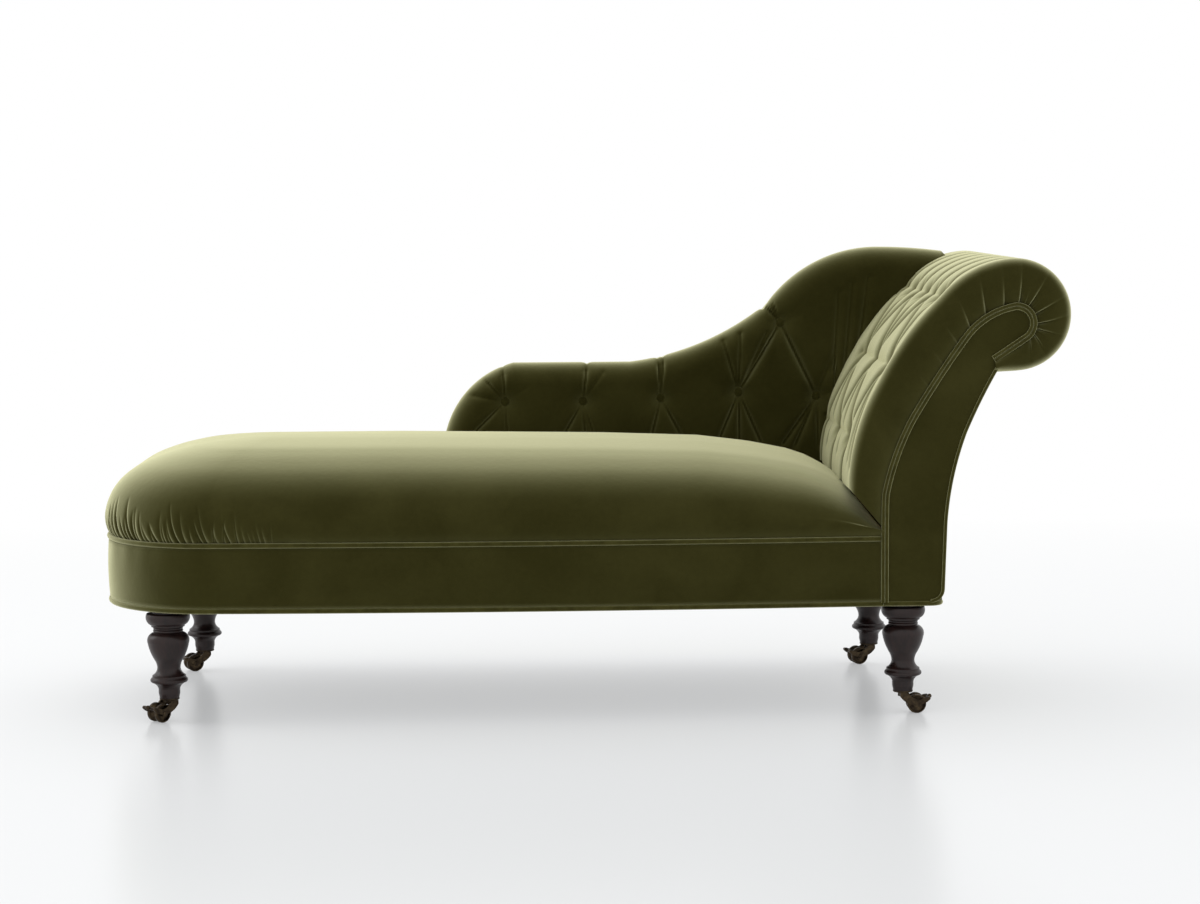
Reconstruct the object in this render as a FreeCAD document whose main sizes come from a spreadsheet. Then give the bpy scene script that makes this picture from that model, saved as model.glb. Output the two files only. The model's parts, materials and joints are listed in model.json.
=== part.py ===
# Chaise longue on four castors, in millimetres.
# The origin is on the floor under the middle of the whole piece.
# X runs from the foot to the headrest, Y from the open front to the side back, Z up.

import FreeCAD
import Part
import Sketcher
import math
import os

Vector = FreeCAD.Vector
ALONG_X = Vector(1, 0, 0)
ALONG_Y = Vector(0, 1, 0)
ALONG_Z = Vector(0, 0, 1)

# Driving sizes, in millimetres and degrees
SIZES = {
    # whole piece and seat base
    "length": 1743,
    "seat_depth": 644,
    "foot_radius": 205,
    "front_ease_foot": 8,
    "front_ease_head": 22,
    "front_bow": 15,
    "rail_bottom": 208,
    "rail_height": 110,
    "rail_thickness": 28,
    "bow_thickness": 50,
    "border_thickness": 9,
    "border_drop": 1.6,
    "platform_thickness": 2,
    "soft_gap": 0.3,
    "welt_dia": 9,
    "piping_dia": 7,
    "dust_thickness": 2,
    "leg_cutout_gap": 3,
    # webbing and springs
    "web_width": 50,
    "web_thickness": 2,
    "web_pitch_long": 130,
    "web_pitch_cross": 150,
    "spring_pitch": 245,
    "spring_row_gap": 150,
    "spring_radius": 40,
    "spring_wire": 4,
    "spring_turns": 5,
    # seat pad
    "crown_rise": 170,
    "seat_bulge": 8,
    "seat_tuck": 14,
    "stuffing_rise": 34,
    "stuffing_inset": 60,
    # headrest, measured back from the head end and up from the floor
    "facing_reach": 336,
    "facing_thickness": 10,
    "back_reach": 228,
    "back_thickness": 8,
    "post_thickness": 26,
    "block_width": 75,
    "crease_reach": 397,
    "crease_height": 411,
    "sweep_start_height": 425,
    "sweep_low_reach": 344,
    "sweep_low_height": 599,
    "sweep_high_reach": 233,
    "sweep_high_height": 752,
    "scroll_radius": 100,
    "scroll_height": 720,
    "eye_radius": 34,
    "eye_drop": 14,
    "frame_low_reach": 286,
    "frame_low_height": 540,
    "frame_high_reach": 193,
    "frame_high_height": 683,
    "tuck_reach": 138,
    "tuck_height": 640,
    "pad_corner_height": 342,
    "back_mid_height": 350,
    "back_mid_lean": 4,
    "back_high_reach": 190,
    "back_high_height": 513,
    "back_top_height": 618,
    "channel_depth": 13,
    "headrest_edge": 5,
    "tuft_row_low": 497,
    "tuft_row_mid": 634,
    "tuft_row_high": 757,
    "tuft_pitch": 176,
    "tuft_offset": 52,
    "eye_rail_dia": 60,
    "tie_rail_height": 520,
    "tie_rail_depth": 40,
    # side back: its start and buttons are set from the foot end, its sweep from the head end
    "side_start": 608,
    "side_low_height": 472,
    "side_end_length": 134,
    "side_flat_height": 607,
    "side_flat_end": 769,
    "side_step_start": 496,
    "side_step_height": 722,
    "side_crest_start": 275,
    "side_crest_height": 831,
    "side_crest_end": 150,
    "side_end_height": 822,
    "side_pad_front": 90,
    "side_pad_bulge": 10,
    "side_board": 24,
    "side_wrap": 36,
    "side_panel": 10,
    "side_rail_width": 60,
    "side_pleat_depth": 8,
    "side_tuft_height": 533,
    "side_tuft_start": 726,
    "side_tuft_pitch": 154,
    "side_tuft_stop": 400,
    "high_tuft_reach": 472,
    "high_tuft_height": 683,
    "button_dia": 20,
    "button_height": 9,
    "dimple_radius": 40,
    "dimple_depth": 14,
    # turned legs
    "leg_foot_reach": 123,
    "leg_head_reach": 294,
    "leg_spread": 514,
    "leg_bottom": 40.6,
    "leg_dowel_dia": 25,
    "leg_dowel_length": 36,
    "dowel_gap": 0.1,
    "leg_neck_dia": 57,
    "leg_collar_dia": 80,
    "leg_fillet_dia": 60,
    "leg_ring_dia": 51,
    "leg_vase_dia": 74,
    "leg_waist_dia": 41.6,
    "leg_bead_dia": 65,
    "leg_foot_dia": 38.6,
    # castors
    "plate_dia": 36,
    "plate_thickness": 2.6,
    "pintle_dia": 7,
    "pintle_head_dia": 10.5,
    "pintle_head": 1.5,
    "horn_height": 7.6,
    "horn_eye_dia": 18,
    "running_gap": 0.05,
    "side_play": 0.3,
    "wheel_dia": 34,
    "wheel_width": 27,
    "wheel_rim": 6,
    "wheel_groove": 7,
    "castor_trail": 24,
    "cheek_thickness": 3.5,
    "axle_dia": 5,
    "axle_head_dia": 8,
    "axle_head": 1.4,
    "knob_dia": 8,
    "screw_dia": 3,
    "screw_head_dia": 6,
    "screw_length": 14,
    "screw_circle": 25,
}

doc = FreeCAD.newDocument("ChaiseLongue")
sheet = doc.addObject("Spreadsheet::Sheet", "Sizes")
for row, (alias, number) in enumerate(SIZES.items(), start=1):
    sheet.set(f"A{row}", alias)
    sheet.set(f"B{row}", str(number))
    sheet.setAlias(f"B{row}", alias)
doc.recompute()


class Size:
    """A length that knows both its number and its spreadsheet expression."""

    def __init__(self, number, text):
        self.number = float(number)
        self.text = text

    def combine(self, other, sign, flip=False):
        other = as_size(other)
        left, right = (other, self) if flip else (self, other)
        text = f"({left.text} {sign} {right.text})"
        if sign == "+":
            return Size(left.number + right.number, text)
        if sign == "-":
            return Size(left.number - right.number, text)
        if sign == "*":
            return Size(left.number * right.number, text)
        return Size(left.number / right.number, text)

    def __add__(self, other):
        return self.combine(other, "+")

    def __radd__(self, other):
        return self.combine(other, "+", True)

    def __sub__(self, other):
        return self.combine(other, "-")

    def __rsub__(self, other):
        return self.combine(other, "-", True)

    def __mul__(self, other):
        return self.combine(other, "*")

    def __rmul__(self, other):
        return self.combine(other, "*", True)

    def __truediv__(self, other):
        return self.combine(other, "/")

    def __neg__(self):
        return Size(0, "0") - self

    def __float__(self):
        return self.number


def as_size(value):
    return value if isinstance(value, Size) else Size(value, repr(float(value)))


def cell(alias):
    return Size(sheet.get(alias), f"Sizes.{alias}")


def bind(thing, prop, value):
    size = as_size(value)
    if "." not in prop:
        setattr(thing, prop, size.number)
    thing.setExpression(prop, size.text)


def place(thing, x=0, y=0, z=0, turn=0):
    thing.Placement = FreeCAD.Placement(Vector(), FreeCAD.Rotation(ALONG_Z, float(turn)))
    for axis, value in (("x", x), ("y", y), ("z", z)):
        bind(thing, f"Placement.Base.{axis}", value)


parts = []


def keep(thing, label):
    thing.Label = label
    parts.append(thing)
    return thing


def solid_feature(label, shape):
    thing = doc.addObject("Part::Feature", label)
    thing.Shape = shape
    return keep(thing, label)


def box_part(label, low, high):
    box = doc.addObject("Part::Box", label)
    for prop, a, b in zip(("Length", "Width", "Height"), low, high):
        bind(box, prop, b - a)
    place(box, *low)
    return keep(box, label)


# Outlines: each point is (across, up, rise), where rise bows the edge to the next point.
# A positive rise bows it to the right of the way from this point to the next.


def edge_between(start, end, rise):
    p = Vector(start[0], start[1], 0)
    q = Vector(end[0], end[1], 0)
    if not rise:
        return Part.LineSegment(p, q)
    run = q - p
    side = Vector(run.y, -run.x, 0).normalize()
    middle = (p + q) * 0.5 + side * rise
    return Part.Arc(p, middle, q) if rise > 0 else Part.Arc(q, middle, p)


def arc_radius(a, b):
    """Radius of the bowed edge from a to b, as a size bound to the sheet."""
    run_x, run_y, rise = b[0] - a[0], b[1] - a[1], a[2]
    chord = run_x * run_x + run_y * run_y
    number = (chord.number / 4 + rise.number**2) / (2 * abs(rise.number))
    text = f"(({chord.text}) / 4 + ({rise.text})^2) / (2 * abs({rise.text}))"
    return Size(number, text)


def add_sketch(body, name, role, points):
    """A closed, fully constrained sketch on one of the body's origin planes."""
    sketch = body.newObject("Sketcher::SketchObject", name)
    plane = [f for f in body.Origin.OriginFeatures if f.Role == role][0]
    sketch.AttachmentSupport = (plane, [""])
    sketch.MapMode = "FlatFace"
    spots = [tuple(as_size(v) for v in (*point, 0)[:3]) for point in points]
    pairs = list(zip(spots, spots[1:] + spots[:1]))
    starts = []
    for a, b in pairs:
        edge = edge_between((float(a[0]), float(a[1])), (float(b[0]), float(b[1])), float(a[2]))
        sketch.addGeometry(edge)
        drawn = sketch.Geometry[-1].StartPoint
        begins = abs(drawn.x - float(a[0])) + abs(drawn.y - float(a[1])) < 1e-6
        starts.append(1 if begins else 2)
    for i, (a, b) in enumerate(pairs):
        after = (i + 1) % len(pairs)
        ends = Sketcher.Constraint("Coincident", i, 3 - starts[i], after, starts[after])
        sketch.addConstraint(ends)
    for i, (a, b) in enumerate(pairs):
        for kind, value in (("DistanceX", a[0]), ("DistanceY", a[1])):
            rule = Sketcher.Constraint(kind, -1, 1, i, starts[i], float(value))
            number = sketch.addConstraint(rule)
            sketch.setExpression(f"Constraints[{number}]", value.text)
        if float(a[2]):
            radius = arc_radius(a, b)
            number = sketch.addConstraint(Sketcher.Constraint("Radius", i, float(radius)))
            sketch.setExpression(f"Constraints[{number}]", radius.text)
    return sketch


def padded_body(label, role, points, thickness):
    """A body padded from one sketch, along the plane's own normal."""
    body = doc.addObject("PartDesign::Body", label)
    sketch = add_sketch(body, f"{label}_outline", role, points)
    pad = body.newObject("PartDesign::Pad", f"{label}_pad")
    pad.Profile = sketch
    bind(pad, "Length", thickness)
    body.Tip = pad
    return keep(body, label)


def turned_body(label, points):
    """A body turned about its own Z axis; points are (radius, height, rise)."""
    body = doc.addObject("PartDesign::Body", label)
    sketch = add_sketch(body, f"{label}_profile", "XZ_Plane", points)
    turning = body.newObject("PartDesign::Revolution", f"{label}_turning")
    turning.Profile = sketch
    turning.ReferenceAxis = (sketch, ["V_Axis"])
    turning.Angle = 360
    body.Tip = turning
    return keep(body, label)


def plan(points, z):
    """A wire in a level plane from outline points; open when the last rise is None."""
    return outline_wire(points, lambda u, v: Vector(u, v, z))


def upright(points, y):
    """A wire in a plane across the depth, from (x, z, rise) points."""
    return outline_wire(points, lambda u, v: Vector(u, y, v))


def outline_wire(points, lift):
    spots = [tuple(float(v) for v in (*point, 0)[:3]) for point in points]
    edges = []
    for a, b in zip(spots, spots[1:]):
        p, q = lift(a[0], a[1]), lift(b[0], b[1])
        if a[2]:
            across, up = b[0] - a[0], b[1] - a[1]
            run = math.hypot(across, up)
            middle_u = (a[0] + b[0]) / 2 + up / run * a[2]
            middle_v = (a[1] + b[1]) / 2 - across / run * a[2]
            edges.append(Part.Arc(p, lift(middle_u, middle_v), q).toShape())
        else:
            edges.append(Part.LineSegment(p, q).toShape())
    return Part.Wire(edges)


def closed(points):
    return list(points) + [points[0]]


def prism(wire, run):
    return Part.Face(wire).extrude(run)


def box_shape(low, high):
    size = [b - a for a, b in zip(low, high)]
    return Part.makeBox(*size, Vector(*low))


def tube(path, width):
    """A round cord swept along a wire of tangent arcs and lines."""
    start = path.OrderedEdges[0]
    first = start.FirstParameter
    heading = start.tangentAt(first)
    ring = Part.Wire(Part.makeCircle(width / 2, start.valueAt(first), heading))
    return path.makePipeShell([ring], True, False)


# Lines that the whole piece is set out from
foot_end = -cell("length") / 2
head_end = cell("length") / 2
rear = cell("seat_depth") / 2
front_foot = cell("front_ease_foot") - rear
front_head = cell("front_ease_head") - rear
bow_start = foot_end + cell("foot_radius")
piping_x = head_end - cell("facing_reach")
back_x = head_end - cell("back_reach")
post_back = back_x - cell("back_thickness")
rail_top = cell("rail_bottom") + cell("rail_height")
platform_top = rail_top + cell("platform_thickness")
pad_base = platform_top + cell("soft_gap")
border_bottom = cell("rail_bottom") + cell("border_drop")
QUARTER = 1 - math.sqrt(0.5)


def seat_path(inset, end_x):
    """Plan of the seat from the front of the headrest round the foot to the rear."""
    corner = (cell("foot_radius") - inset) * QUARTER
    return [
        (end_x, front_head + inset, -cell("front_bow")),
        (bow_start, front_foot + inset, -corner),
        (foot_end + inset, front_foot + cell("foot_radius"), 0),
        (foot_end + inset, rear - cell("foot_radius"), -corner),
        (bow_start, rear - inset, 0),
        (end_x, rear - inset, 0),
    ]


def back_along(points):
    """The same outline walked the other way, with its bows kept."""
    turned = []
    for i in range(len(points) - 1, -1, -1):
        rise = -as_size(points[i - 1][2]) if i else 0
        turned.append((points[i][0], points[i][1], rise))
    return turned


def band(outer, inner):
    """A band between two open outlines of the same run."""
    outer = list(outer)
    outer[-1] = (outer[-1][0], outer[-1][1], 0)
    return outer + back_along(inner)


# Seat frame
def build_seat_frame():
    skin = cell("border_thickness")
    outer = seat_path(skin, piping_x)[1:5]
    inner = seat_path(skin + cell("bow_thickness"), piping_x)[1:5]
    outer[-1] = (outer[-1][0], outer[-1][1], 0)
    foot_bow = padded_body("foot_bow", "XY_Plane", band(outer, inner), cell("rail_height"))
    place(foot_bow, z=cell("rail_bottom"))
    dowel_holes(foot_bow, foot_end + cell("leg_foot_reach"), (-1, 1))

    front_face = seat_path(skin, piping_x)
    thickness = cell("rail_thickness")
    front_rail = [
        front_face[0],
        (front_face[1][0], front_face[1][1], 0),
        (bow_start, front_foot + skin + thickness, 0),
        (piping_x, front_head + skin + thickness, 0),
    ]
    rail = padded_body("front_rail", "XY_Plane", front_rail, cell("rail_height"))
    place(rail, z=cell("rail_bottom"))

    box_part(
        "rear_rail",
        (bow_start, rear - skin - thickness, cell("rail_bottom")),
        (piping_x, rear - skin, rail_top),
    )
    width = cell("block_width")
    front_side = front_head + cell("facing_thickness")
    rear_side = rear - cell("facing_thickness")
    box_part(
        "head_rail",
        (post_back - thickness, front_side + width, cell("rail_bottom")),
        (post_back, rear_side - width, rail_top),
    )
    for name, low, sign in (("front", front_side, -1), ("rear", rear_side - width, 1)):
        corners = [(piping_x, low), (post_back, low)]
        corners += [(post_back, low + width), (piping_x, low + width)]
        block = padded_body(f"head_block_{name}", "XY_Plane", corners, cell("rail_height"))
        place(block, z=cell("rail_bottom"))
        dowel_holes(block, head_end - cell("leg_head_reach"), (sign,))


def dowel_holes(body, x, signs):
    """Blind holes for the leg dowels, cut up from the underside of a body."""
    radius = cell("leg_dowel_dia") / 2 + cell("dowel_gap")
    for number, sign in enumerate(signs, start=1):
        y = cell("leg_spread") * sign / 2
        sketch = body.newObject("Sketcher::SketchObject", f"{body.Name}_hole_{number}")
        plane = [f for f in body.Origin.OriginFeatures if f.Role == "XY_Plane"][0]
        sketch.AttachmentSupport = (plane, [""])
        sketch.MapMode = "FlatFace"
        centre = Vector(float(x), float(y), 0)
        sketch.addGeometry(Part.Circle(centre, ALONG_Z, float(radius)))
        for kind, value in (("DistanceX", x), ("DistanceY", y)):
            rule = Sketcher.Constraint(kind, -1, 1, 0, 3, float(value))
            sketch.setExpression(f"Constraints[{sketch.addConstraint(rule)}]", value.text)
        rule = Sketcher.Constraint("Radius", 0, float(radius))
        sketch.setExpression(f"Constraints[{sketch.addConstraint(rule)}]", radius.text)
        pocket = body.newObject("PartDesign::Pocket", f"{body.Name}_dowel_{number}")
        pocket.Profile = sketch
        pocket.Reversed = True
        bind(pocket, "Length", cell("leg_dowel_length") + 2 * cell("dowel_gap"))
        body.Tip = pocket


# Webbing, springs and the cloths over and under them
def build_seat_platform():
    skin = cell("border_thickness")
    low_web = cell("rail_bottom") - cell("web_thickness")
    base = float(low_web)
    thick = float(cell("web_thickness"))
    wide = float(cell("web_width"))
    bow_inner = float(foot_end + skin + cell("bow_thickness"))
    lap = float(cell("rail_thickness"))
    far = float(post_back)
    side = float(rear - skin)
    strips = []
    for row in (-1, 0, 1):
        y = row * float(cell("web_pitch_long")) - wide / 2
        low = (bow_inner - lap, y, base)
        strips.append(box_shape(low, (far, y + wide, base + thick)))
    for column in range(-3, 4):
        x = column * float(cell("web_pitch_cross")) - wide / 2
        near = float(front_head + skin)
        low = (x, near, base - thick)
        strips.append(box_shape(low, (x + wide, side, base)))
    solid_feature("seat_webbing", Part.Compound(strips))

    wire = float(cell("spring_wire"))
    radius = float(cell("spring_radius"))
    bottom = float(cell("rail_bottom")) + wire / 2
    rise = float(rail_top) - wire / 2 - bottom
    quarters = int(float(cell("spring_turns")) * 4)
    spring = tube(coil_wire(radius, rise, quarters), wire)
    coils = []
    for column in range(-2, 3):
        for row in (-1, 0, 1):
            coil = spring.copy()
            x = (column - 0.4) * float(cell("spring_pitch"))
            y = row * float(cell("spring_row_gap"))
            coil.translate(Vector(x, y, bottom))
            coils.append(coil)
    solid_feature("seat_springs", Part.Compound(coils))

    sheet_edge = seat_path(skin + 3, piping_x)
    sheet_edge[-1] = (sheet_edge[-1][0], sheet_edge[-1][1], 0)
    hessian = padded_body("seat_hessian", "XY_Plane", sheet_edge, cell("platform_thickness"))
    place(hessian, z=rail_top)

    cover_edge = seat_path(skin + 3, piping_x)
    cover_edge = cover_edge[:-1] + [
        (post_back, rear - skin - 3, 0),
        (post_back, front_head + cell("facing_thickness") + 3, 0),
    ]
    top = base - thick - float(cell("soft_gap"))
    cloth = prism(plan(closed(cover_edge), top), Vector(0, 0, -float(cell("dust_thickness"))))
    hole = float(cell("leg_neck_dia")) / 2 + float(cell("leg_cutout_gap"))
    for x, y in leg_places():
        drill = Part.makeCylinder(hole, 40, Vector(float(x), float(y), top - 20))
        cloth = cloth.cut(drill)
    solid_feature("dust_cover", cloth)


def coil_wire(radius, rise, quarters):
    """A climbing coil of quarter turns, each one arc."""
    def spot(step):
        angle = math.radians(90 * step)
        return Vector(radius * math.cos(angle), radius * math.sin(angle), rise * step / quarters)

    arcs = [Part.Arc(spot(i), spot(i + 0.5), spot(i + 1)).toShape() for i in range(quarters)]
    return Part.Wire(arcs)


def leg_places():
    half = cell("leg_spread") / 2
    xs = (foot_end + cell("leg_foot_reach"), head_end - cell("leg_head_reach"))
    return [(xs[0], -half), (xs[1], -half), (xs[0], half), (xs[1], half)]


# Headrest outlines, from the scroll's centre and the named points of its sweep
def headrest_chain(drop=0.0):
    """Outer line of the headrest pad from its crease over the scroll to the tuck.

    drop draws the line in, as along a sewn channel.
    """
    radius = float(cell("scroll_radius")) - drop
    centre_x = float(head_end - cell("scroll_radius"))
    centre_z = float(cell("scroll_height"))
    low_x = float(head_end - cell("sweep_low_reach")) + drop * 0.9
    low_z = float(cell("sweep_low_height")) - drop * 0.4
    high_x = float(head_end - cell("sweep_high_reach")) + drop * 0.7
    high_z = float(cell("sweep_high_height")) - drop * 0.7
    crease_x = float(head_end - cell("crease_reach")) + drop
    tuck_x = float(head_end - cell("tuck_reach"))
    return [
        (crease_x, float(cell("crease_height")) - drop, 0),
        (crease_x, float(cell("sweep_start_height")), -10),
        (low_x, low_z, -8),
        (high_x, high_z, -16),
        (centre_x, centre_z + radius, -radius * QUARTER),
        (centre_x + radius, centre_z, -radius * QUARTER),
        (centre_x, centre_z - radius, 0),
        (tuck_x, centre_z - radius - 3, 0),
    ]


def frame_chain(gap=0.0):
    """Inner line of the pad, which is also the edge of the scroll boards."""
    radius = float(cell("eye_radius")) - gap
    centre_x = float(head_end - cell("scroll_radius"))
    centre_z = float(cell("scroll_height") - cell("eye_drop"))
    turn = math.radians(-52)
    front_x = float(piping_x) + gap
    return [
        (front_x, float(cell("pad_corner_height")), 0),
        (front_x, float(cell("crease_height")) - 15, -6),
        (float(head_end - cell("frame_low_reach")) + gap, float(cell("frame_low_height")), -2),
        (float(head_end - cell("frame_high_reach")) + gap, float(cell("frame_high_height")), -11),
        (centre_x, centre_z + radius, -radius * QUARTER),
        (centre_x + radius, centre_z, -radius * 0.1),
        (centre_x + radius * math.cos(turn), centre_z + radius * math.sin(turn), 0),
        (float(head_end - cell("tuck_reach")), float(cell("tuck_height")) + gap, 0),
    ]


def back_chain(inset=0.0, bottom=None):
    """Outer back line of the headrest from the seat's underside to the tuck."""
    start = float(border_bottom) if bottom is None else bottom
    lean = float(back_x + cell("back_mid_lean"))
    return [
        (float(back_x) - inset, start, 0),
        (lean - inset, float(cell("back_mid_height")), -6),
        (float(head_end - cell("back_high_reach")) - inset, float(cell("back_high_height")), -2),
        (float(head_end - cell("tuck_reach")) - inset, float(cell("back_top_height")), 0),
    ]


def scroll_outline(gap, inset, bottom):
    """Outline of a scroll board or its facing, inside the pad and the outer back."""
    front = frame_chain(gap)
    front[0] = (front[0][0], bottom, 0)
    return closed(front + back_along(back_chain(inset, bottom)))


def headrest_section(drop):
    outer = headrest_chain(drop)
    return closed(outer + back_along(frame_chain()))


def headrest_keepout(shape, gap):
    """Cut the headrest's space, grown by a gap, out of a neighbouring piece."""
    chain = headrest_chain(-gap)
    wall = 2 * float(cell("length"))
    space = chain[:5]
    space[0] = (space[0][0], float(cell("crease_height")) - gap, 0)
    space[-1] = (space[-1][0], space[-1][1], 0)
    space += [(wall, space[-1][1], 0), (wall, 0, 0), (float(piping_x) - gap, 0, 0)]
    space += [(float(piping_x) - gap, float(cell("pad_corner_height")) - 2 * gap, 0)]
    block = prism(upright(closed(space), -wall), ALONG_Y * (2 * wall))
    return shape.cut(block)


def tuft_seat(point, normal):
    """The hollow that a tuft button draws into a pad, with the seat for the button."""
    ball = float(cell("dimple_radius"))
    depth = float(cell("dimple_depth"))
    hollow = Part.makeSphere(ball, point + normal * (ball - depth))
    gap = float(cell("soft_gap"))
    radius = float(cell("button_dia")) / 2 + gap
    deep = float(cell("button_height")) * 0.7 + gap
    seat = Part.makeCylinder(radius, deep + 3, point - normal * (depth + deep), normal)
    return hollow.fuse(seat)


def button(point, normal):
    """A covered button, low and domed, seated at the bottom of its hollow."""
    height = float(cell("button_height"))
    sunk = float(cell("dimple_depth")) + height * 0.7
    base = point - normal * sunk
    disc = Part.makeCylinder(float(cell("button_dia")) / 2, height, base, normal)
    rim = [edge for edge in disc.Edges if edge.BoundBox.Center.distanceToPoint(base) > height / 2]
    rim = [edge for edge in rim if len(edge.Vertexes) == 1]
    return disc.makeFillet(height * 0.4, rim)


def headrest_point(height, drop):
    """The pad's face at a height, and the way it faces, from a dense walk of its line."""
    wire = upright(headrest_chain(drop), 0)
    best = None
    for edge in wire.OrderedEdges[1:4]:
        for spot in edge.discretize(60):
            if best is None or abs(spot.z - height) < abs(best[0].z - height):
                heading = edge.tangentAt(edge.Curve.parameter(spot))
                best = (spot, heading)
    spot, heading = best
    normal = Vector(-abs(heading.z), 0, abs(heading.x))
    return spot, normal


def headrest_tufts():
    pitch = float(cell("tuft_pitch"))
    middle = -float(cell("tuft_offset"))
    deep = float(cell("channel_depth"))
    rows = [
        ("tuft_row_low", deep * 0.5, (-0.5, 0.5)),
        ("tuft_row_mid", deep, (-1, 0, 1)),
        ("tuft_row_high", deep, (-1, 0, 1)),
    ]
    for alias, drop, columns in rows:
        spot, normal = headrest_point(float(cell(alias)), drop)
        for column in columns:
            yield Vector(spot.x, middle + column * pitch, spot.z), normal


def build_headrest():
    front = float(front_head)
    back = float(rear)
    pitch = float(cell("tuft_pitch"))
    middle = -float(cell("tuft_offset"))
    deep = float(cell("channel_depth"))
    edge = float(cell("headrest_edge"))
    # Drawn in at each column of tufts, half as much between two columns
    quarter = pitch / 4
    drops = (deep, 0, deep * 0.5, 0)
    outer_crests = {-3: edge * 1.1, 5: edge * 0.6}
    stations = [(front, edge * 1.6), (front + 14, edge), (middle - 5 * quarter, edge)]
    for step in range(-4, 7):
        stations.append((middle + step * quarter, outer_crests.get(step, drops[step % 4])))
    stations += [(middle + 7 * quarter, edge * 0.8), (middle + 8 * quarter, edge * 0.7)]
    stations += [(back - 11, edge * 0.8), (back, edge * 1.6)]
    wires = [upright(headrest_section(drop), y) for y, drop in stations]
    pad = Part.makeLoft(wires, True, False)
    buttons = []
    for spot, normal in headrest_tufts():
        pad = pad.cut(tuft_seat(spot, normal))
        buttons.append(button(spot, normal))
    solid_feature("headrest_pad", pad)
    solid_feature("headrest_buttons", Part.Compound(buttons))

    facing = float(cell("facing_thickness"))
    board = float(cell("post_thickness"))
    soft = float(cell("soft_gap"))
    skin = float(cell("back_thickness"))
    bottom = float(border_bottom)
    for name, face, way in (("front", front, 1), ("rear", back, -1)):
        facing_wire = upright(scroll_outline(soft, 0, bottom), face)
        solid_feature(f"scroll_facing_{name}", prism(facing_wire, ALONG_Y * (facing * way)))
        board_wire = upright(scroll_outline(soft, skin, float(rail_top)), face + facing * way)
        solid_feature(f"scroll_board_{name}", prism(board_wire, ALONG_Y * (board * way)))
        centre = face - way * float(cell("piping_dia")) / 2
        piping = frame_chain()
        piping[0] = (piping[0][0], bottom, 0)
        cords = [tube(upright(line, centre), float(cell("piping_dia")))
                 for line in (piping, back_chain())]
        solid_feature(f"scroll_piping_{name}", Part.Compound(cords))

    low = front + facing + board
    high = back - facing - board
    inner = closed(back_chain(skin, bottom) + back_along(back_chain(0, bottom)))
    panel = prism(upright(inner, front + facing), ALONG_Y * (back - front - 2 * facing))
    solid_feature("headrest_outer_back", panel)

    cloth = frame_chain(soft)[:5]
    lining = frame_chain(soft + float(cell("platform_thickness")))[:5]
    cloth[-1] = (cloth[-1][0], cloth[-1][1], 0)
    sling = prism(upright(closed(cloth + back_along(lining)), low), ALONG_Y * (high - low))
    solid_feature("headrest_hessian", sling)

    rail = doc.addObject("Part::Cylinder", "headrest_scroll_rail")
    bind(rail, "Radius", cell("eye_rail_dia") / 2)
    bind(rail, "Height", head_span())
    rail.Placement = FreeCAD.Placement(Vector(), FreeCAD.Rotation(ALONG_X, -90))
    for axis, value in (
        ("x", head_end - cell("scroll_radius")),
        ("y", board_face()),
        ("z", cell("scroll_height") - cell("eye_drop")),
    ):
        bind(rail, f"Placement.Base.{axis}", value)
    keep(rail, "headrest_scroll_rail")
    thick = cell("rail_thickness")
    tie_x = head_end - cell("frame_low_reach") + cell("rail_thickness") * 1.6
    box_part(
        "headrest_tie_rail",
        (tie_x, board_face(), cell("tie_rail_height")),
        (tie_x + thick, board_face() + head_span(), cell("tie_rail_height") + cell("tie_rail_depth")),
    )
    box_part(
        "headrest_lower_rail",
        (post_back - thick, board_face(), rail_top),
        (post_back, board_face() + head_span(), rail_top + cell("tie_rail_depth")),
    )


def board_face():
    return front_head + cell("facing_thickness") + cell("post_thickness")


def head_span():
    return rear - cell("facing_thickness") - cell("post_thickness") - board_face()


# Seat pad: a crowned loft of arched sections, drawn in at the foot and at the crease.
# Each pair is a distance, from the foot or back from the facing, and a share of the crown.
FOOT_RISES = [
    (0, 0.27), (4, 0.34), (15, 0.46), (33, 0.58), (68, 0.73), (102, 0.83), (138, 0.905),
    (173, 0.95), (215, 0.975), (330, 1.0), (720, 1.0),
]
CREASE_RISES = [
    (427, 0.99), (307, 0.955), (217, 0.89), (145, 0.79), (103, 0.69), (61, 0.54), (31, 0.37), (0, 0.17),
]


def seat_half_widths(run):
    """How far the seat reaches to the front and to the rear at a distance from the foot."""
    radius = float(cell("foot_radius"))
    short = max(radius - run, 0)
    in_corner = radius - math.sqrt(radius**2 - short**2)
    start = float(bow_start)
    full = float(piping_x) - start
    share = min(max((run - radius) / full, 0), 1)
    straight = float(front_foot) + (float(front_head) - float(front_foot)) * share
    bow = 4 * float(cell("front_bow")) * share * (1 - share)
    return -(straight - bow) - in_corner, float(rear) - in_corner


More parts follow.
